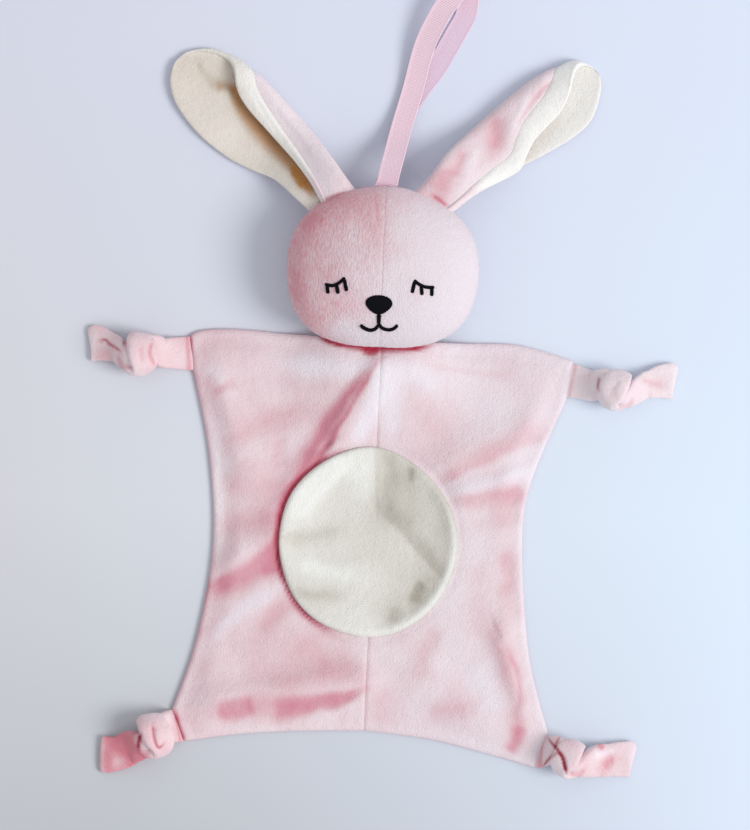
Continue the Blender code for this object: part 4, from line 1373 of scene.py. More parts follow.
@dataclass
class Head:
    """The stuffed head: two face panels, a back panel and the fibre inside."""

    width: float = 114.6 * MM
    length: float = 96.6 * MM
    x: float = -1.4 * MM
    overlap: float = 4.5 * MM
    front_depth: float = 30 * MM
    back_depth: float = 24.5 * MM
    flat_depth: float = 0.5 * MM
    crown_exponent: float = 1.95
    chin_exponent: float = 2.85
    neck_y: float = 1.006 * 122 * MM
    seam_slit: float = 0.03 * MM
    filling_gap: float = 1.2 * MM
    gathers: int = 66
    rows: int = 110
    columns: int = 56
    # Creases on the face, and strokes of painted shade and painted light.
    strokes: Table = (
        ((318, 205, 338, 195), 1.2, -0.4, 0.9),
        ((300, 232, 322, 215), 6, 0, 0.35),
        ((371, 192, 369, 216, 366, 244), 6, 0, 0.08),
        ((332, 320, 350, 334, 372, 342), 9, 0, -0.26, 0.35),
        ((352, 276, 356, 300), 8, 0, -0.08, 0.12),
        ((296, 262, 300, 300, 318, 330), 6, 0, 0.25),
        ((379, 333, 379, 348), 0.8, 0, 0, 0.5),
        ((376, 196, 378, 226), 1.2, -0.2, 0.3),
        ((386, 195, 388, 218), 1.2, 0.1, 0, 0.35),
        ((430, 192, 448, 206), 1.3, -0.3, 0.5),
    )

    @property
    def y(self) -> float:
        """The head's middle along the toy."""
        return self.neck_y - self.overlap + self.length / 2

    @property
    def seam_z(self) -> float:
        """The level of the head's widest outline."""
        return self.back_depth - self.flat_depth

    def underside(self) -> float:
        """The level of the head's underside over the neck edge."""
        share = 1 - self.overlap / (self.length / 2)
        return self.seam_z - self.back_depth * math.sqrt(1 - share**2)

    def surface(self, across: Array, along: Array, out: Array, inset: Array | float) -> Array:
        """Places on the head, from unit directions.

        Args:
            across: the direction's share along X.
            along: its share along Y.
            out: its share along Z.
            inset: how far below the outer surface.

        Returns:
            Points.
        """
        radius = np.maximum(np.hypot(across, along), TINY)
        cosine, sine = across / radius, along / radius
        power = self.crown_exponent + (self.chin_exponent - self.crown_exponent) * (1 - sine) / 2
        wide, tall = self.width / 2 - inset, self.length / 2 - inset
        reach = ((np.abs(cosine) / wide) ** power + (np.abs(sine) / tall) ** power) ** (-1 / power)
        depth = np.where(out > 0, self.front_depth, self.back_depth) - inset
        level = np.maximum(self.seam_z + depth * out, inset * 1.0)
        x, y = self.x + radius * reach * cosine, self.y + radius * reach * sine
        return np.stack([x, y, level], axis=-1)

    def directions(self, first: int, last: int) -> tuple[Array, Array, Array]:
        """Unit directions from the crown to the chin between two quarters round the head.

        Args:
            first: the quarter where they start.
            last: the quarter where they end.

        Returns:
            Their shares along X, Y and Z.
        """
        edge = np.array((0.0, 0.004, 0.012, 0.025, 0.045))
        share = np.concatenate([edge, np.linspace(0.07, 0.93, self.columns), 1 - edge[::-1]])
        turn = math.pi / 2 * (first - 1 + (last - first) * share)[None, :]
        crown = np.linspace(0, math.pi, self.rows + 1)[:, None]
        return np.sin(crown) * np.sin(turn), np.cos(crown) + 0 * turn, np.sin(crown) * np.cos(turn)

    def cover(self, name: str, node: str, first: int, last: int) -> None:
        """One plush panel, drawn in along its seams.

        Args:
            name: the piece's name.
            node: the solid that it stands for.
            first: the quarter where it starts.
            last: the quarter where it ends.
        """
        wide, tall, out = way = self.directions(first, last)
        plain = self.surface(*way, 0.0)
        to_rim = np.abs(plain[..., 2] - self.seam_z)
        to_middle = np.abs(plain[..., 0] - self.x) if last < 3 else np.full_like(to_rim, FAR)
        round_the = np.arctan2(plain[..., 1] - self.y, plain[..., 0] - self.x)
        ruffled = round_the * self.gathers + mottle(plain, (2, 13, 21))
        drawn = 0.9 * bell(to_rim, 1.7 * MM) + 0.22 * bell(to_middle, 1.0 * MM)
        drawn += 0.12 * np.cos(ruffled) * bell(to_rim, 6 * MM)
        drawn += 0.12 * np.cos(plain[..., 1] / (0.9 * MM)) * bell(to_middle, 4 * MM)
        drawn -= mottle(plain, (0.55, 26, 22), (0.14, 8, 23))
        folds = Relief.of(self.strokes, plain)
        showing = np.clip(out * 3, 0, 1)
        outside = self.surface(*way, drawn * MM - folds.rise * showing)
        inside = self.surface(*way, FABRIC)
        outside[..., 2] = np.maximum(outside[..., 2], 0.0)
        if first == 1:
            for grid in (outside, inside):
                grid[:, 0, 0] += self.seam_slit
        # Painted shade and light: deeper on the left and at the crown, paler on the right and towards the
        # chin; darker along the rim seam.
        upper = np.clip(tall, 0, 1) ** 1.5
        deep = 0.14 - 0.5 * wide + 0.36 * upper * (1 - 0.6 * wide) + mottle(plain, (0.2, 13, 24))
        deep += 0.35 * bell(to_rim, 2.5 * MM) + 0.05 * bell(to_middle, 1.0 * MM) + folds.deep * showing
        deep -= 0.14 * (first == 1) * upper
        pale = 0.1 + 0.8 * wide - 0.5 * tall + mottle(plain, (0.1, 22, 25)) + folds.pale * showing
        marks = tinted(deep=deep, pale=pale * np.clip(0.4 + out, 0, 1), side=0.55 - 0.75 * wide)
        piece = Draft().sheet(outside, inside, **marks).build(name, node, FACE, Body.HEAD)

    def filling(self) -> None:
        """The fibre ball inside the covers."""
        way = [share[:, :-1] for share in self.directions(0, 4)]
        plain = self.surface(*way, FABRIC + self.filling_gap)
        inset = FABRIC + self.filling_gap + mottle(plain, (0.5 * MM, 7, 31))
        draft = Draft()
        draft.grid(self.surface(*way, inset), closed=True)
        piece = draft.build("head_fibre_filling", "head_stuffing", FIBRE, Body.HEAD)

    def outline(self, x: Array, y: Array) -> Array:
        """How far the outline lies from the head's middle.

        Args:
            x: offsets that give the directions.
            y: offsets that give the directions.

        Returns:
            Distances.
        """
        radius = np.maximum(np.hypot(x, y), TINY)
        edge = self.surface(x / radius, y / radius, np.zeros_like(radius), 0.0)
        return np.hypot(edge[..., 0] - self.x, edge[..., 1] - self.y)

    def outside(self, x: Array, y: Array) -> Array:
        """How far a place lies beyond the head's outline, seen from above."""
        return np.hypot(x - self.x, y - self.y) - self.outline(x - self.x, y - self.y)

    def over_face(self, x: Array, y: Array, lift: Array | float) -> Array:
        """Places over the face.

        Args:
            x: offsets from the head's middle.
            y: offsets from the head's middle.
            lift: how far off the plush.

        Returns:
            Points.
        """
        radius = np.maximum(np.hypot(x, y), TINY)
        full = self.outline(x, y)
        out = np.sqrt(np.maximum(1 - (radius / full) ** 2, 0))
        slope = -self.front_depth / np.maximum(out, 0.2) * radius / full**2
        tilt = slope / radius
        normal = unit(np.stack([-tilt * x, -tilt * y, np.ones_like(radius)], axis=-1))
        base = np.stack([self.x + x, self.y + y, self.seam_z + self.front_depth * out], axis=-1)
        return base + normal * (lift + 0 * radius)[..., None]

    def build(self) -> None:
        """Makes the covers and the filling."""
        self.cover("face_left_cover", "head_front_left", 0, 1)
        self.cover("face_right_cover", "head_front_right", 1, 2)
        self.cover("head_back_cover", "head_back", 2, 4)
        self.filling()


HEAD = Head()


@dataclass
class Face:
    """The embroidered closed eyes, nose and mouth.

    A stitched line is a row of its pixels as x, y, x, y and so on, its width in millimetres, and
    the shares of it at its start and end.
    """

    head: Head
    height: float = 0.85 * MM
    nose_height: float = 1.3 * MM
    lift: float = 0.3 * MM
    root: float = -0.3 * MM
    left_eye: Table = (
        ((325.4, 285, 329.5, 286.3, 334.5, 286.4, 340, 283.6, 345.6, 278.6), 2.1),
        ((327.4, 286.5, 328, 290.5, 328.8, 294.6), 2.1),
        ((337, 285.6, 337.6, 290, 338.6, 294.8), 2.2),
        ((344.6, 280, 345.8, 286.5, 347, 292.4), 2.2),
    )
    right_eye: Table = (
        ((413.6, 281.2, 418, 285, 423.4, 287.6, 428.8, 288.5, 434, 288.4), 2.1),
        ((414.4, 282.4, 413, 288.4, 411.8, 294.2), 2.2),
        ((421, 286.8, 421.2, 291, 421.6, 296.2), 2.2),
        ((431.2, 288.8, 431.4, 293, 431.2, 297.2), 2.1),
    )
    mouth: Table = (
        ((379, 315, 378.8, 319.5, 378.8, 326), 2.1, 1.3, 0.9),
        ((360.6, 325.4, 364, 328.4, 370, 330.6, 375.6, 329.2, 379.2, 324.6), 1.9),
        ((378.6, 324.6, 382.4, 328.6, 388.2, 330.2, 393.6, 329, 397.6, 325.4), 1.9),
    )
    nose_middle: Pixel = (378.9, 305.6)
    nose_size: Pixel = (16.0 * MM, 11.4 * MM)
    nose_rings: tuple = (1.0, 0.985, 0.95, 0.88, 0.78, 0.64, 0.48, 0.32, 0.16, 0.04)

    def sew(self, draft: Draft, line: tuple, width: float, first: float = 1, last: float = 1) -> None:
        """Adds one stitched line to a draft: a crowned strip that ends round.

        Args:
            draft: the mesh that takes it.
            line: its pixels.
            width: its width in millimetres.
            first: the share of the width at its start.
            last: the share of the width at its end.
        """
        path = evenly(PHOTO.run(line) - (self.head.x, self.head.y), np.linspace(0, 1, 44))
        run = lengths_along(path)
        ahead = unit(np.gradient(path, axis=0))
        side = np.stack([-ahead[:, 1], ahead[:, 0]], axis=1)
        half = width * MM / 2
        rounded = rolled(np.minimum(run, run[-1] - run), half, least=0.003)
        ragged = noise(np.concatenate([path, run[:, None]], axis=1), 0.5 * MM, 41)
        widths = half * rounded * np.linspace(first, last, len(run)) * (1 + 0.07 * ragged)
        share = np.linspace(-1, 1, 11)
        spot = path[:, None] + side[:, None] * (widths[:, None] * share)[..., None]
        crown = self.lift + self.height * np.sqrt(1 - share**2)[None, :] * rounded[:, None]
        top, low = (self.head.over_face(spot[..., 0], spot[..., 1], lift) for lift in (crown, self.root))
        draft.sheet(top, low, run=np.broadcast_to(run[:, None], crown.shape))

    def lines(self, name: str, node: str, rows: Table) -> None:
        """One piece from several stitched lines.

        Args:
            name: the piece's name.
            node: the solid that it stands for.
            rows: the stitched lines.
        """
        draft = Draft()
        for row in rows:
            self.sew(draft, *row)
        draft.build(name, node, THREAD, Body.HEAD)

    def nose(self) -> None:
        """A rounded triangle of upright satin stitches, wide at its top."""
        angle = np.linspace(0, FULL_TURN, 97)[:-1]
        high = np.sin(angle)
        wide = np.where(high > 0, 0.9 + 0.12 * high, 0.9 + 0.26 * high) * np.cos(angle)
        wide = wide / np.abs(wide).max()
        share = np.array(self.nose_rings)[:, None]
        middle = PHOTO.place([self.nose_middle])[0] - (self.head.x, self.head.y)
        ragged = 1 + 0.02 * np.cos(angle * 31)
        x = middle[0] + self.nose_size[0] / 2 * share * wide * ragged
        y = middle[1] + self.nose_size[1] / 2 * share * high * ragged
        crown = self.lift + self.nose_height * np.sqrt(1 - share**2.6)
        top, low = (self.head.over_face(x, y, lift) for lift in (crown, self.root))
        Draft().disc(top, low, run=x).build("nose_stitching", "nose", THREAD, Body.HEAD)

    def build(self) -> None:
        """Makes the eyes, nose and mouth."""
        self.lines("left_eye_stitching", "left_eye", self.left_eye)
        self.lines("right_eye_stitching", "right_eye", self.right_eye)
        self.lines("mouth_stitching", "mouth", self.mouth)
        self.nose()


# The ears


@dataclass
class Ear:
    """A folded ear: a plush back and a cream lining that rolls over the flap's free edge.

    A row of shares is a place along the ear, then the lobe's edge, the fold and the flap's free edge
    as shares of the width, then the fold's height and how far the flap is turned over, both from 0
    to 1. A row of strip is a place along the ear and the millimetres that the lining comes back.
    """

    body: Body
    side: float
    base: Pixel
    heading: float
    length: float
    shares: Table
    strip: Table
    # Shadow scales the painted shade under the flap, bright is painted light on the lining, blush deepens
    # or pales the back, and the creases carry painted shade and light.
    shadow: float
    blush: float
    bright: float
    creases: Table
    pink_to: float = 0.1
    width: float = 50 * MM
    fold_height: float = 8 * MM
    dish: float = 1.6 * MM
    droop: float = 52 * MM
    edge_round: float = 2.2 * MM
    hinge_out: float = 1.5 * MM
    bend_reach: Pixel = (-2.5 * MM, 5 * MM)
    tuck: float = 3 * MM
    tip: float = 0.945
    rows: int = 130
    steps: int = 80
    lobe_end: int = 26
    hinge_up: float = 0.62

    def level(self, along: Array) -> Array:
        """The level of the lobe.

        Args:
            along: places along the ear.

        Returns:
            Levels, falling from the head to the table.
        """
        high = HEAD.seam_z - self.fold_height * 0.31
        low = FABRIC + SEAM_GAP / 2 + REST_GAP
        return low + (high - low) * (1 - ease(along * self.length / self.droop))

    def outward(self) -> Array:
        """The direction from the head to the tip."""
        return np.array([math.cos(self.heading), math.sin(self.heading), 0.0])

    def root(self) -> Array:
        """The ear's place on the head, at level 0."""
        return np.array([HEAD.x + self.base[0], HEAD.y + self.base[1], 0.0])

    def table(self, along: Array) -> Array:
        """The rows of shares at places along the ear, with a rounded end.

        Past the tip's share the width falls as a half ellipse does.

        Args:
            along: the places.

        Returns:
            A row for each place.
        """
        fine = curve_through(np.array(self.shares, float), self.steps * len(self.shares))
        table = columns_at(along, fine[:, 0], fine)
        at = int(np.searchsorted(table[:, 0], self.tip))
        end = table[at:]
        share = (end[:, 0] - end[0, 0]) / (end[-1, 0] - end[0, 0])
        middle, half = (end[:, 1] + end[:, 2]) / 2, (end[:, 2] - end[:, 1]) / 2
        reach = np.minimum(half[0] * np.sqrt(np.maximum(1 - share**2, 0.0025)), half)
        table[at:, 1], table[at:, 2] = middle - reach, middle + reach
        return table

    def profile(self, row: Array) -> tuple[Array, Array, Array]:
        """The middle line across the ear at one row.

        Args:
            row: along, lobe, fold, free, height and turn.

        Returns:
            Places across and up, the directions towards the lining, and the distance along the line.
        """
        lobe, fold, free = row[1:4] * self.width
        radius = row[4] * self.fold_height / 2
        turn = math.pi * min(row[5], 1.0)
        centre = np.array([fold - radius, radius])
        share = graded(1.0, 0.045, (0, 0.004, 0.014, 0.03, 0.055))
        run = np.stack([lobe + (centre[0] - lobe) * share, self.dish * (1 - share) ** 2], axis=1)
        angle = np.linspace(0, turn, 17)[1:]
        inward = np.stack([-np.sin(angle), np.cos(angle)], axis=1)
        bent = centre - inward * radius
        length = max((centre[0] - free) * turn / math.pi, 0.2 * MM)
        out = np.linspace(0, 1, 22)[1:, None] * length
        flap = bent[-1] + np.array([math.cos(turn), math.sin(turn)]) * out
        places = np.concatenate([run, bent, flap])
        up = np.zeros_like(run) + (0.0, 1.0)
        normals = np.concatenate([up, inward, np.broadcast_to(inward[-1], flap.shape)])
        return places, normals, lengths_along(places)

    def edge_roll(self, run: Array) -> Array:
        """How thick the cloth is near the lobe's edge, where it rolls in."""
        return 0.25 + 0.75 * rolled(run, self.edge_round)

    def row_of_outer(self, line: tuple, strip: float) -> Grids:
        """One row of the plush back.

        Args:
            line: the middle line, as profile gives it.
            strip: how far the lining comes back over the flap.

        Returns:
            The outer and the inner line, and the distance from the lining's edge.
        """
        run, total, fold = line[2], line[2][-1], line[2][self.lobe_end]
        at = graded(1.0, 0.022, (0, 0.004, 0.012, 0.026)) * min(total - strip + self.tuck, total)
        back, normal = pick(line, at)
        free = total - strip - at
        share = np.clip((at - fold) / max(run[-1] - fold, TINY), 0, 1)
        puff = 1.1 * MM * np.sin(math.pi * share) * ease((total - fold) / (8 * MM))
        under = ease((0.4 * MM - free) / (1.6 * MM))
        thick = (SEAM_GAP / 2 + FABRIC) * self.edge_roll(at) + puff * ease(free / (6 * MM))
        high = thick * (1 - 0.6 * under)
        inner = back - normal * SEAM_GAP / 4
        return {"outer": back - normal * high[:, None], "outer_in": inner, "free": free}

    def row_of_lining(self, line: tuple, strip: float, along: float) -> Grids:
        """One row of the lining: across the hollow, round the free edge and back over the flap.

        Args:
            line: the middle line, as profile gives it.
            strip: how far the lining comes back over the flap.
            along: the place along the ear.

        Returns:
            The outer and the inner line, the painted shade under the flap and the share of the flap.
        """
        places, normals, total = line[0], line[1], line[2][-1]
        near, far = SEAM_GAP / 2, SEAM_GAP / 2 + FABRIC
        first = graded(1.0, 0.03, (0, 0.004, 0.014, 0.03)) * total
        inner, inner_normal = pick(line, first)
        ahead = unit(places[-1] - places[-4])
        angle = np.linspace(0, math.pi, 10)[1:-1, None]
        turned = np.cos(angle) * normals[-1] + np.sin(angle) * ahead
        tip = np.broadcast_to(places[-1], turned.shape)
        share = np.linspace(0, 1, 16)
        returning, return_normal = pick(line, total - share * strip)
        spots = np.concatenate([inner, tip, returning])
        ways = np.concatenate([inner_normal, turned, -return_normal])
        swell = 0.9 * MM * np.sin(math.pi * share) ** 0.9
        sink = 1 - ease((share - 0.8) / 0.2) * 0.12
        high = np.concatenate([far * self.edge_roll(first), np.full(len(tip), far), (far + swell) * sink])
        run = np.concatenate([first, np.full(len(tip), total), total + share * strip])
        # The painted shade under the flap: a band beside its free edge, widest halfway along the ear.
        reach = (3.0 + 7.0 * float(bell(along - 0.44, 0.24))) * MM
        hidden = ease((spots[:, 0] - places[-1][0] + 4.6 * MM + reach) / reach) * (run < total * 0.999)
        shade = hidden * ease((along - 0.03) / 0.08) * (1 - ease((along - 0.66) / 0.14))
        flap = np.clip((run - total) / max(strip, TINY), -1, 1)
        outer = spots + ways * high[:, None]
        return {"lining": outer, "lining_in": spots + ways * near, "shade": shade, "flap": flap}

    def sheets(self) -> Grids:
        """The grids of both cloths and what their finishes need to know of each place.

        Returns:
            By name: each cloth's outer and inner grid, and the measures that the rows give.
        """
        first, last = self.shares[0][0], self.shares[-1][0]
        along = first + (last - first) * np.sin(math.pi / 2 * np.linspace(0, 1, self.rows + 1)) ** 1.15
        strips = np.interp(along, *np.array(self.strip).T) * MM
        outward = self.outward()
        aside = self.side * np.array([-outward[1], outward[0], 0.0])
        rows = []
        for shares, strip, level in zip(self.table(along), strips, self.level(along), strict=True):
            line = self.profile(shares)
            strip = min(strip, line[2][-1] * 0.7)
            start = self.root() + outward * shares[0] * self.length + UP * level
            row = {**self.row_of_outer(line, strip), **self.row_of_lining(line, strip, shares[0])}
            for name, flat in row.items():
                if flat.ndim == 2:
                    row[name] = start + aside * flat[:, :1] + UP * flat[:, 1:]
            rows.append(row)
        grids = {name: np.array([row[name] for row in rows]) for name in rows[0]}
        return {**grids, "along": along[:, None]}

    def outer_marks(self, made: Grids, grid: Array, relief: Relief, up: Array) -> Grids:
        """The tints of the plush back.

        Args:
            made: what sheets gives.
            grid: the cloth's outer grid.
            relief: the creases.
            up: how far each place looks up.

        Returns:
            Values by mark.
        """
        # Deeper near the head and paler beside the lining's edge; the creases add painted shade and light
        # on upward faces.
        deep = 0.1 + mottle(grid, (0.14, 16, 52)) + relief.deep * up + self.blush
        deep = deep + 0.12 * (1 - ease(made["along"] / 0.08)) - 0.25 * bell(made["free"], 3.5 * MM)
        pale = 0.5 + relief.pale * up - deep + mottle(grid, (0.2, 20, 53))
        return tinted(deep=deep, pale=pale, warm=relief.warm * up, side=0.3 + 0 * deep)

    def lining_marks(self, made: Grids, grid: Array, relief: Relief, up: Array) -> Grids:
        """The lining's tints: painted light on the flap, painted shade where the flap hangs over it.

        Args:
            made: what sheets gives.
            grid: the cloth's outer grid.
            relief: the creases.
            up: how far each place looks up.

        Returns:
            Values by mark.
        """
        along, shade = made["along"], made["shade"] * self.shadow
        deep = 0.2 + 0.16 * ease((along - 0.6) / 0.3) - 0.5 * self.bright
        deep = deep + mottle(grid, (0.15, 14, 54)) + relief.deep * up + 0.5 * shade
        pale = 0.8 * np.clip(made["flap"] + 0.5, 0, 1) + self.bright + relief.pale * up - shade
        warm = np.clip(shade, 0, 1) ** 1.3 + relief.warm * up
        turned = ease(made["flap"] + 0.6) * (1 - ease((along - self.pink_to) / 0.1))
        return tinted(deep=deep, pale=pale, warm=warm, run=turned, side=0.3 + 0 * deep)

    def build(self) -> None:
        """Makes the plush back and the lining."""
        made, name = self.sheets(), self.body.value
        hinge = self.root() + self.outward() * self.hinge_out
        hinge[2] = self.level(np.array(0.0)) + self.hinge_up * self.fold_height
        for part, finish, marks_of in (
            ("outer", EAR_PINK, self.outer_marks),
            ("lining", LINING, self.lining_marks),
        ):
            outer, inner = made[part], made[f"{part}_in"]
            relief = Relief.of(self.creases, outer)
            up = np.abs(grid_normals(outer)[..., 2])
            if part == "outer":
                up = up * ease((outer[..., 2] - self.level(made["along"]) - 1.0 * MM) / (2 * MM))
            rise = (relief.rise + mottle(outer, (0.3 * MM, 12, 51))) * up
            outer = outer + rise[..., None] * UP
            marks = marks_of(made, outer, relief, up)
            outer[..., 2] = np.maximum(outer[..., 2], 0.05 * MM)
            inner[..., 2] = np.maximum(inner[..., 2], 0.07 * MM)
            draft, node = Draft().sheet(outer, inner, **marks), f"{name}_{part}"
            piece = draft.build(f"{node}_cloth", node, finish)
            flat, long = area_of(outer), self.length * 1.1
            bend(piece, hinge, self.outward(), self.bend_reach)


def pick(line: tuple[Array, Array, Array], at: Array) -> tuple[Array, Array]:
    """Reads a line.

    Args:
        line: its places, directions and distances.
        at: the distances to read.

    Returns:
        Places and directions.
    """
    return columns_at(at, line[2], line[0]), unit(columns_at(at, line[2], line[1]))


LEFT_EAR = Ear(
    Body.LEFT_EAR, side=-1.0, base=(-33.3 * MM, 39 * MM), heading=math.radians(134.5), length=124 * MM,
    shares=(
        (-0.07, -0.262, 0.262, -0.09, 0.62, 1.0),
        (0.0, -0.272, 0.272, -0.085, 0.62, 1.0),
        (0.12, -0.30, 0.306, -0.016, 0.7, 1.0),
        (0.25, -0.336, 0.336, 0.018, 0.85, 1.0),
        (0.36, -0.46, 0.346, 0.022, 1.0, 1.0),
        (0.47, -0.566, 0.348, 0.022, 1.0, 1.0),
        (0.6, -0.632, 0.342, 0.026, 0.95, 1.0),
        (0.71, -0.648, 0.32, 0.076, 0.85, 0.95),
        (0.84, -0.61, 0.24, 0.17, 0.5, 0.6),
        (0.93, -0.51, 0.12, 0.08, 0.36, 0.4),
        (0.98, -0.38, -0.03, -0.05, 0.3, 0.25),
        (1.0, -0.28, -0.13, -0.15, 0.25, 0.2),
    ),
    strip=((-0.1, 2), (0.0, 2), (0.2, 3), (0.4, 5.5), (0.6, 9.5), (0.75, 13), (1.0, 15)),
    shadow=0.86, blush=-0.12, bright=0.0,
    creases=(
        ((196, 60, 202, 72, 216, 86), 2.6, -0.9, 0.3),
        ((214, 85, 226, 86, 238, 92), 2.6, -0.8, 0.5, 0, 0.4),
        ((293, 171, 299, 181, 304, 188), 2.2, -0.5, 1, 0, 1.2),
        ((252, 96, 270, 122, 290, 150), 1.4, -0.5, 0.14),
        ((276, 108, 300, 140, 318, 168), 1.6, -0.5, 0.2),
        ((268, 96, 290, 120, 312, 150), 3, 0.4, 0, 0.5),
        ((319, 204, 333, 197, 347, 193), 0.9, -0.4, 0.5, 0, 0.5),
    ),
)

RIGHT_EAR = Ear(
    Body.RIGHT_EAR, side=1.0, base=(32.7 * MM, 44 * MM), heading=math.radians(40.6), length=120 * MM,
    shares=(
        (-0.1, -0.17, 0.19, -0.19, 0.6, 1.0),
        (0.0, -0.176, 0.22, -0.21, 0.62, 1.0),
        (0.17, -0.186, 0.326, -0.222, 0.75, 1.0),
        (0.38, -0.292, 0.374, -0.306, 0.95, 1.0),
        (0.47, -0.34, 0.386, -0.21, 0.97, 1.0),
        (0.56, -0.378, 0.394, -0.122, 1.0, 1.0),
        (0.71, -0.42, 0.392, -0.07, 0.95, 1.0),
        (0.83, -0.39, 0.35, 0.0, 0.8, 0.9),
        (0.95, -0.2, 0.25, 0.1, 0.6, 0.6),
        (1.0, -0.04, 0.08, 0.05, 0.35, 0.3),
    ),
    strip=((-0.1, 2), (0.1, 3), (0.2, 5), (0.32, 8.5), (0.5, 10), (0.7, 12.5), (0.84, 14), (1.0, 9)),
    shadow=0.14, blush=0.1, bright=0.8, pink_to=0.12,
    creases=(
        ((494, 116, 496, 134, 492, 152), 5.2, -1.3, 0.45),
        ((460, 148, 459, 164, 454, 180), 4.4, -1, 0.4),
        ((530, 92, 521, 112, 508, 134), 4, 0.9, 0, 0.8),
        ((556, 78, 540, 92, 526, 110, 514, 130), 1.5, -0.8, 0.5),
        ((476, 148, 470, 160, 462, 176), 4, 0.8, 0, 0.7),
        ((438, 194, 444, 180, 448, 168), 6, -0.4, 0.4),
        ((432, 196, 440, 202, 447, 208), 1, -0.4, 0.5, 0, 0.5),
        ((585, 92, 560, 122, 530, 148), 5, -0.5, 0.14),
    ),
)


# The knotted limbs


@dataclass(frozen=True)
class Knot:
    """How a limb's knot is drawn up: the rope's thickness and the way the knot is turned.

    A row of the line is out, sideways, up and half the width, in ropes, and how firmly it is held.
    """

    rope: float
    spin: float
    mirrored: bool = False
    flatness: float = 0.86
    line: Table = (
        (-0.95, -0.1, -0.3, 1.05, 0), (-0.2, -0.25, -0.1, 0.85, 0), (0.5, -0.35, 0.0, 0.7, 0),
        (1.08, 0.0, 0.05, 0.7, 1), (0.95, 0.68, 0.1, 0.7, 1), (0.42, 1.02, 0.3, 0.76, 1),
        (-0.02, 0.72, 0.82, 0.95, 1), (-0.15, 0.0, 1.05, 1.1, 1), (-0.28, -0.78, 0.75, 1.02, 1),
        (-0.3, -1.12, 0.0, 0.9, 1), (-0.15, -0.75, -0.75, 0.85, 1), (0.05, 0.1, -0.95, 0.8, 1),
        (0.4, 0.5, -0.5, 0.7, 0), (0.6, 0.35, 0.1, 0.74, 0), (1.0, 0.15, 0.45, 0.86, 0),
    )

    def places(self) -> Array:
        """The strap's route through the knot.

        Returns:
            Rows of the place about the knot's middle, half the width, and the hold.
        """
        table = np.array(self.line, float)
        line = table[:, :3] * self.rope * (1, -1 if self.mirrored else 1, self.flatness)
        cosine, sine = math.cos(self.spin), math.sin(self.spin)
        line = line @ np.array([[cosine, sine, 0], [-sine, cosine, 0], [0, 0, 1]])
        return np.concatenate([line, table[:, 3:4] * self.rope, table[:, 4:]], axis=1)


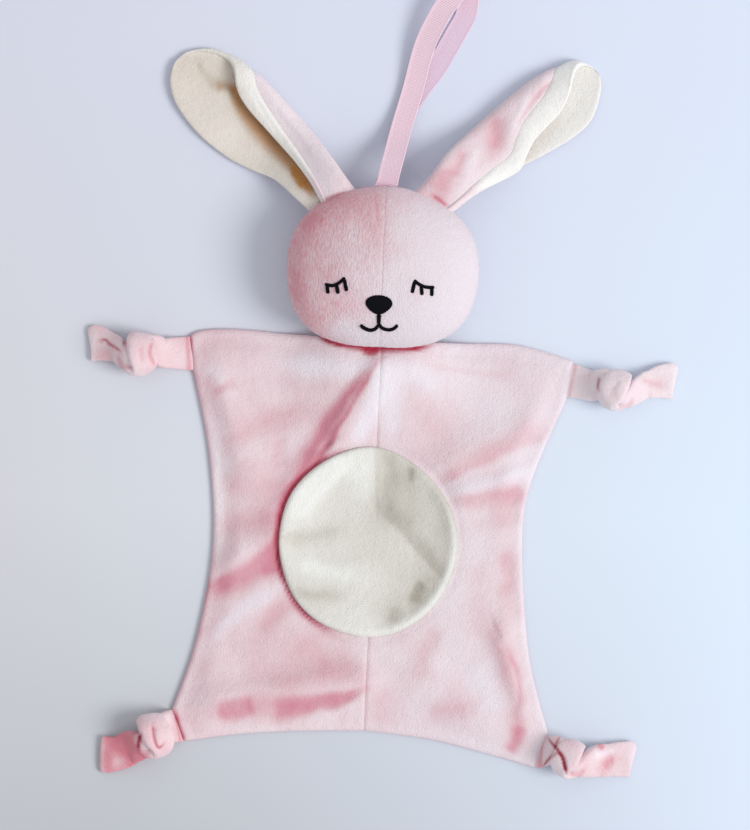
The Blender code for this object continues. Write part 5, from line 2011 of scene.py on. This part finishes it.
@dataclass
class Limb:
    """A strap from the seam through an overhand knot to a loose tail."""

    name: str
    seam: tuple[Pixel, Pixel]
    tab: float
    tail: float
    knot_aside: float
    tail_aside: float
    knot: Knot
    # Strokes of creases and ridges with painted shade and light in their tints.
    creases: Table
    blush: float
    tail_deep: float
    tail_bow: float = 0.0
    neck: float = 7.8 * MM
    thickness: float = 2.8 * MM
    knot_length: float = 24 * MM
    knot_height: float = 21 * MM
    end_round: float = 3.2 * MM
    bend_reach: Pixel = (-2.4 * MM, 2.6 * MM)
    step: float = 0.5 * MM
    steps: int = 26
    smoothing: int = 8
    sides: int = 72
    pleats: int = 5
    pleat_depth: float = 0.055
    turns_apart: float = 1.9

    def __post_init__(self) -> None:
        """Works out the hinge and the directions from the seam."""
        first, second = BLANKET.scaled(self.seam)
        along = (second - first) / np.linalg.norm(second - first)
        self.outward = np.array([along[1], -along[0], 0.0])
        self.aside = np.array([along[0], along[1], 0.0])
        middle = (first + second) / 2 + self.outward[:2] * (self.thickness / 2 + SEAM_GAP)
        self.hinge = np.array([*middle, FABRIC + SEAM_GAP / 2])

    def route(self) -> Array:
        """The strap's way from the seam to its end.

        Returns:
            Rows of out, sideways, height, half width, half thickness and hold. The hold is -1 where
            the strap lies flat, 1 where it is wound round the knot, and 0 between.
        """
        centre = self.tab + self.knot_length / 2
        reach = self.knot_length / 2 + self.tail
        aside, level, thick = self.knot_aside, self.knot_height * 0.46, self.knot.rope * 0.44
        rows = [(-3.5 * MM, 0, 0, 10.1 * MM, 1.0 * MM, -1), (-0.5 * MM, 0, 0, 10.2 * MM, 1.4 * MM, -1)]
        if self.tab > 5 * MM:
            for share, over, high, wide, deep in (
                (0.3, 0.2, 0.6, 9.8, 2.1), (0.6, 0.5, 1.8, 9.4, 2.9), (0.95, 0.8, 3.8, 8.8, 3.7),
            ):
                rows.append((self.tab * share, aside * over, high * MM, wide * MM, deep * MM, -1))
        for x, y, z, wide, hold in self.knot.places():
            rows.append((centre + x, aside + y, level + z, wide, thick, hold))
        neck = self.neck / MM
        for share, wide, deep, high in (
            (0.46, neck, 3.4, 4.9), (0.62, neck / 2 + 5.0, 2.8, 2.8),
            (0.8, 10.4, 2.3, 1.6), (0.95, 11.1, 1.9, 0.9), (1.0, 11.0, 1.7, 0.7),
        ):
            over = aside + (self.tail_aside - aside) * float(ease(np.array(share)))
            over += self.tail_bow * math.sin(math.pi * (share - 0.3) / 0.7)
            rows.append((centre + reach * share, over, high * MM, wide * MM, deep * MM, -1))
        return np.array(rows)

    def frames(self, path: Array, hold: Array) -> tuple[Array, Array]:
        """Width and thickness directions along the path.

        Args:
            path: the strap's middle line.
            hold: -1 where it lies flat and 1 where it is wound round the knot.

        Returns:
            The two directions at each place.
        """
        ahead = unit(np.gradient(path, axis=0))
        width = [self.aside - ahead[0] * np.dot(self.aside, ahead[0])]
        for step in ahead[1:]:
            width.append(unit(width[-1] - step * np.dot(width[-1], step)))
        wide = np.array(width)
        thick = np.cross(ahead, wide)
        out = path - path[hold > 0.5].mean(axis=0)
        flat = np.cross(ahead, np.broadcast_to(self.aside, ahead.shape))
        wished = np.where(hold[:, None] > 0, out, flat)
        angle = np.arctan2(-(wished * wide).sum(axis=1), (wished * thick).sum(axis=1))
        sure = np.flatnonzero(np.abs(hold) > 0.6)
        angle = np.interp(np.arange(len(path)), sure, 0.5 * np.unwrap(2 * angle[sure]))
        window = np.hanning(2 * self.smoothing + 1)
        padded = np.pad(angle, self.smoothing, mode="edge")
        angle = np.convolve(padded, window / window.sum(), mode="valid")[:, None]
        cosine, sine = np.cos(angle), np.sin(angle)
        return wide * cosine + thick * sine, thick * cosine - wide * sine

    def clearance(self, places: Array, path: Array, line: Array) -> Array:
        """How far each place lies from the surface of another turn of the knot.

        Args:
            places: rings of points on the strap.
            path: the strap's middle line.
            line: the distance along it.

        Returns:
            Distances, large where nothing else is near.
        """
        apart = np.abs(line[:, None] - line[None, :]) > self.turns_apart * self.knot.rope
        inside = (line > self.tab * 0.7) & (line < line[-1] - self.tail * 0.55)
        nearest = np.full(places.shape[:2], FAR)
        for ring, near, usable in zip(places, nearest, apart & inside[None, :], strict=True):
            others = path[usable]
            if len(others):
                near[:] = np.linalg.norm(ring[:, None] - others[None], axis=-1).min(axis=1)
        return np.maximum(nearest - 0.6 * self.knot.rope, 0)

    def build(self) -> None:
        """Makes the limb."""
        rows = self.route()
        fine = curve_through(rows, self.steps * (len(rows) - 1) + 1)
        path = fine[:, :1] * self.outward + fine[:, 1:2] * self.aside + fine[:, 2:3] * UP
        path, others, line = respaced(path, fine[:, 3:], self.step)
        half_width, half_thick, hold = others[:, :1], others[:, 1:2], others[:, 2]
        to_end = (line[-1] - line)[:, None]
        rounded = rolled(to_end, self.end_round, 2.6, 0.01)
        half_width, half_thick = half_width * (0.55 + 0.45 * rounded), half_thick * rounded
        wide, thick = self.frames(path, hold)
        path, run = path + self.hinge, line[:, None]

        # The rings: flat ovals, rounder and pleated where the strap is drawn together.
        angle = np.linspace(0, FULL_TURN, self.sides + 1)[:-1]
        flat = 0.62 + 0.28 * ease((half_thick / half_width - 0.35) / 0.4)
        gathered = ease((half_thick / half_width - 0.3) / 0.4)
        pleat = 1 + self.pleat_depth * gathered * np.cos(angle * self.pleats + 0.7 + run / (9 * MM))
        c, s = (np.sign(way) * np.abs(way) ** flat for way in (np.cos(angle), np.sin(angle)))
        places = path[:, None] + wide[:, None] * (c * half_width * pleat)[..., None]
        places = places + thick[:, None] * (s * half_thick * pleat)[..., None]
        bumps = mottle(places, (0.55 * MM, 6.5, 63), (0.22 * MM, 3.2, 64))
        out = unit(places - path[:, None])
        places = places + out * (bumps * (0.35 + 0.65 * gathered))[..., None]
        away = self.clearance(places, path, line)

        # What would sink into the table is pressed flat on it.
        level = places[..., 2]
        pressed = 0.15 * MM + 0.35 * np.maximum(level + 1.8 * MM, 0)
        places[..., 2] = np.where(level < 1.2 * MM, pressed, level)
        relief = Relief.of(self.creases, places)
        top = np.clip((places[..., 2] - path[:, None, 2]) / half_thick, 0, 1)
        seen = ease((places[..., 2] - 2 * MM) / (4 * MM)) * 0.5 + 0.5 * top
        places[..., 2] += relief.rise * seen + mottle(places, (0.3 * MM, 6, 61)) * top

        # Painted shade in the crevices between the knot's turns, with a warm tint where they are tightest.
        crease = np.clip(1 - away / (1.6 * MM), 0, 1) ** 1.6
        wound = line[np.flatnonzero(hold > 0.5)[-1]] + 1.4 * self.knot.rope
        deep = self.blush * (1 - 0.6 * gathered) + 0.28 * crease + mottle(places, (0.16, 9, 62))
        deep = deep + self.tail_deep * ease((run - wound) / (7 * MM)) * (1 - 0.6 * bell(to_end, 3 * MM))
        deep = deep + 0.4 * bell(run - 3.5 * MM, 1.4 * MM) + relief.deep * seen
        pale = 0.4 - deep * 0.8 + relief.pale * seen + 0.3 * bell(to_end - 2 * MM, 2.5 * MM)
        warm = np.clip(crease * 1.7 - 1.3, 0, 1) * 0.15 + relief.warm * seen
        draft = Draft()
        marks = tinted(deep=deep, pale=pale, warm=warm, side=0.35 + 0 * deep)
        index = draft.grid(places, closed=True, **marks)
        draft.cap(index[0], index[-1])
        piece = draft.build(f"{self.name}_strap", self.name, LIMB_PINK)
        bend(piece, self.hinge, self.outward, self.bend_reach)


BLANKET = Blanket()

LIMBS = (
    Limb(
        "left_arm", ((-1.002, 0.986), (-0.973, 0.82)), 16 * MM, 18 * MM, -2.5 * MM, -13 * MM,
        Knot(8.5 * MM, math.radians(10)),
        (
            ((99, 340, 106, 340, 110, 344, 122, 352), 0.85, -0.7, 0.6, 0, 0.4),
            ((125, 335, 125, 346), 0.8, -0.9, 0.6, 0, 0.4),
            ((153, 340, 151, 354, 157, 368), 1.1, -1, 0.5),
            ((140, 346, 143, 362), 1.4, -0.7, 0.2),
        ),
        blush=0.32, tail_deep=0.0,
    ),
    Limb(
        "right_arm", ((0.97, 0.756), (0.997, 0.948)), 13.5 * MM, 23.5 * MM, -1.2 * MM, 10.6 * MM,
        Knot(8.0 * MM, math.radians(-26), mirrored=True),
        (
            ((599, 377, 598, 386, 599, 393), 0.85, -0.4, 0.5, 0, 0.6),
            ((640, 378, 652, 384, 664, 386), 2.2, -0.8, 0.3),
            ((618, 380, 610, 392), 1.2, -0.5, 0.15),
        ),
        blush=0.03, tail_deep=0.0,
    ),
    Limb(
        "left_leg", ((-1.002, -0.851), (-0.937, -1.005)), 0.5 * MM, 23.5 * MM, 1.6 * MM, 1.2 * MM,
        Knot(8.8 * MM, math.radians(16)),
        (
            ((142, 733, 140, 740, 138, 748), 0.9, -1.2, 0.9, 0, 0.95),
            ((154, 722, 155, 736, 159, 746, 165, 742), 0.8, -1.1, 0.6, 0, 0.25),
            ((130, 746, 136, 756, 144, 762, 152, 764), 4.6, -0.2, 1.3),
            ((108, 764, 124, 760, 136, 752), 4.5, 0, -0.4, 0.2),
        ),
        blush=0.36, tail_deep=0.58, tail_bow=3.0 * MM, neck=10.2 * MM,
    ),
    Limb(
        "right_leg", ((0.89, -1.055), (0.955, -0.884)), 2.5 * MM, 25.4 * MM, 1.4 * MM, 15.8 * MM,
        Knot(7.6 * MM, math.radians(-18), mirrored=True),
        (
            ((545, 734, 552, 743, 559, 751), 0.6, -0.8, 0.45, 0, 0.7, 1.1),
            ((560, 734, 556, 743, 557, 751), 0.6, -0.6, 0.45, 0, 0.4, 1.1),
            ((543, 766, 549, 758, 557, 750), 0.6, -0.7, 0.45, 0, 0.6, 1.1),
            ((556, 749, 562, 757, 566, 772), 1.2, -1.1, 0.6, 0, 1.3, 0.8),
            ((598, 744, 603, 749), 2.2, -0.6, 0.6),
            ((602, 768, 609, 762, 616, 762), 4, -0.9, 0.4),
            ((592, 756, 604, 752, 616, 750), 2.6, 0.6, 0, 0.6),
        ),
        blush=0.2, tail_deep=0.06, tail_bow=-1.5 * MM, neck=9.8 * MM,
    ),
)


# The ribbon


@dataclass
class RibbonLoop:
    """The hanging loop: one ribbed ribbon whose two ends lie in the crown seam.

    A row of the route is sideways, out and up as shares of the reach, then the ribbon's turn in
    degrees, and 1 where it lies on the other strand or -1 where it lies under it.
    """

    width: float = 12.6 * MM
    thickness: float = 0.8 * MM
    strand_gap: float = 0.1 * MM
    reach: float = 126 * MM
    hinge_out: float = 2.2 * MM
    bend_reach: Pixel = (-3 * MM, 3.5 * MM)
    step: float = 0.7 * MM
    steps: int = 26
    section: tuple = (-1, -0.985, -0.95, -0.9, -0.6, -0.2, 0.2, 0.6, 0.9, 0.95, 0.985, 1)
    thickness_across: tuple = (0.3, 0.85, 1.15, 0.8, 0.7, 0.7, 0.7, 0.7, 0.8, 1.15, 0.85, 0.3)
    route: Table = (
        (-0.03, -0.05, 0, -11, 1), (0.002, 0.012, 0, -11, 1), (0.009, 0.05, -0.006, -11, 0),
        (0.023, 0.12, -0.045, -11, 0), (0.058, 0.28, -0.138, -12, 0), (0.105, 0.47, -0.16, -13, 0),
        (0.152, 0.68, -0.13, -16, 0), (0.217, 0.83, -0.1, -28, 0), (0.262, 0.9, -0.093, -32, 0),
        (0.31, 0.97, -0.104, -28, 0), (0.338, 0.995, -0.138, -22, 0), (0.35, 0.965, -0.172, -14, 0),
        (0.35, 0.9, -0.183, -9, 0), (0.339, 0.83, -0.1855, -14, 0), (0.3, 0.75, -0.186, -27, 0),
        (0.217, 0.59, -0.186, -33, 0), (0.14, 0.475, -0.185, -31, 0), (0.08, 0.37, -0.177, -20, 0),
        (0.056, 0.27, -0.153, -13, 0), (0.024, 0.12, -0.062, -11, 0), (0.009, 0.05, -0.02, -11, 0),
        (0.002, 0.012, 0, -11, -1), (-0.03, -0.05, 0, -11, -1),
    )

    def build(self) -> None:
        """Sweeps the ribbon along its route."""
        crown = np.array([HEAD.x, HEAD.y + HEAD.length / 2, HEAD.seam_z])
        rows = curve_through(np.array(self.route, float), (len(self.route) - 1) * self.steps + 1)
        stack = UP * (self.thickness + self.strand_gap) / 2
        path = crown + rows[:, :3] * self.reach + rows[:, 4:5] * stack
        path, turn, run = respaced(path, rows[:, 3:4], self.step)
        angle = np.radians(turn)
        width = np.concatenate([np.cos(angle), np.sin(angle), 0 * angle], axis=1)
        up = unit(np.cross(width, np.gradient(path, axis=0)))[:, None]
        share, line = np.array(self.section), run[:, None]
        thick = (self.thickness / 2 * np.array(self.thickness_across))[None, :, None]
        middle = path[:, None] + width[:, None] * (share * self.width / 2)[None, :, None]
        drift = mottle(middle, (0.15 * MM, 14, 71))[..., None]
        # Deep darkens the ribbon near its first end; pale marks the strand that lies underneath, which
        # takes the far colour as painted shade.
        marks = {
            "run": line + 0 * share,
            "side": share + 0 * line,
            "warm": ease((np.abs(share) - 0.88) / 0.06) + 0 * line,
            "pale": ease((line / run[-1] - 0.5) / 0.1) + 0 * share,
            "deep": 0.25 * bell(line - 8 * MM, 8 * MM) + 0 * share,
        }
        draft = Draft().sheet(middle + up * (thick + drift), middle - up * (thick - drift), **marks)
        piece = draft.build("ribbon_loop_tape", "ribbon_loop", RIBBON)
        ahead = np.array([0.0, 1.0, 0.0])
        hinge = crown + ahead * self.hinge_out
        bend(piece, hinge, ahead, self.bend_reach)


# The studio


@dataclass
class Studio:
    """The pale floor, soft daylight from the right and the camera above the toy."""

    height: float = 6.0
    frame_height: float = 0.498
    sensor: float = 36.0
    sun: float = 1.76
    sun_size: float = math.radians(28)
    sun_azimuth: float = math.radians(-12)
    sun_elevation: float = math.radians(43)
    sky: float = 0.64
    table_size: float = 2.5

    def camera(self) -> None:
        """A camera straight above the middle of the photograph, turned as the toy lies in it."""
        data = bpy.data.cameras.new("camera")
        data.sensor_width = self.sensor
        data.lens = self.sensor * self.height / self.frame_height
        camera = put(bpy.data.objects.new("camera", data))
        x, y = PHOTO.middle()
        camera.location = (float(x), float(y), self.height)
        camera.rotation_euler = (0, 0, PHOTO.turn)
        bpy.context.scene.camera = camera

    def lights(self) -> None:
        """A wide soft sun low on the right, and an even sky that the camera sees as the backdrop."""
        data = bpy.data.lights.new("window_light", "SUN")
        data.energy, data.angle, data.color = self.sun, self.sun_size, (1.0, 0.985, 0.97)
        lamp = put(bpy.data.objects.new("window_light", data))
        flat = math.cos(self.sun_elevation)
        across, along = math.cos(self.sun_azimuth) * flat, math.sin(self.sun_azimuth) * flat
        away = Vector((across, along, math.sin(self.sun_elevation)))
        lamp.rotation_euler = away.to_track_quat("Z", "Y").to_euler()
        world = bpy.context.scene.world = bpy.data.worlds.new("sky")
        world.use_nodes = True
        tree = world.node_tree
        sky = tree.nodes["Background"]
        sky.inputs["Color"].default_value = (0.95, 0.97, 1.0, 1.0)
        sky.inputs["Strength"].default_value = self.sky
        kinds = ("ShaderNodeBackground", "ShaderNodeLightPath", "ShaderNodeMixShader")
        seen, path, mix = (tree.nodes.new(kind) for kind in kinds)
        seen.inputs["Color"].default_value = srgb((222, 227, 240))
        for source, socket in (
            (path.outputs["Is Camera Ray"], mix.inputs[0]),
            (sky.outputs[0], mix.inputs[1]),
            (seen.outputs[0], mix.inputs[2]),
            (mix.outputs[0], tree.nodes["World Output"].inputs["Surface"]),
        ):
            tree.links.new(source, socket)

    def floor(self) -> None:
        """The table that the toy lies on."""
        mesh = bpy.data.meshes.new("table_top")
        sides = ((-1, -1), (1, -1), (1, 1), (-1, 1))
        corners = [(x * self.table_size, y * self.table_size, -REST_GAP) for x, y in sides]
        mesh.from_pydata(corners, [], [(0, 1, 2, 3)])
        table = put(bpy.data.objects.new("table_top", mesh))
        table.data.materials.append(TableLightFalloff().material())

    def build(self) -> None:
        """Sets the camera, lights, floor and colour management."""
        self.camera()
        self.lights()
        self.floor()
        bpy.context.scene.view_settings.view_transform = "Standard"


def main() -> None:
    """Builds every sub-assembly."""
    logging.basicConfig(level=logging.INFO, format="%(name)s: %(message)s")
    for part in (Studio(), BLANKET, HEAD, Face(HEAD), LEFT_EAR, RIGHT_EAR, *LIMBS, RibbonLoop()):
        part.build()


if __name__ == "__main__":
    main()
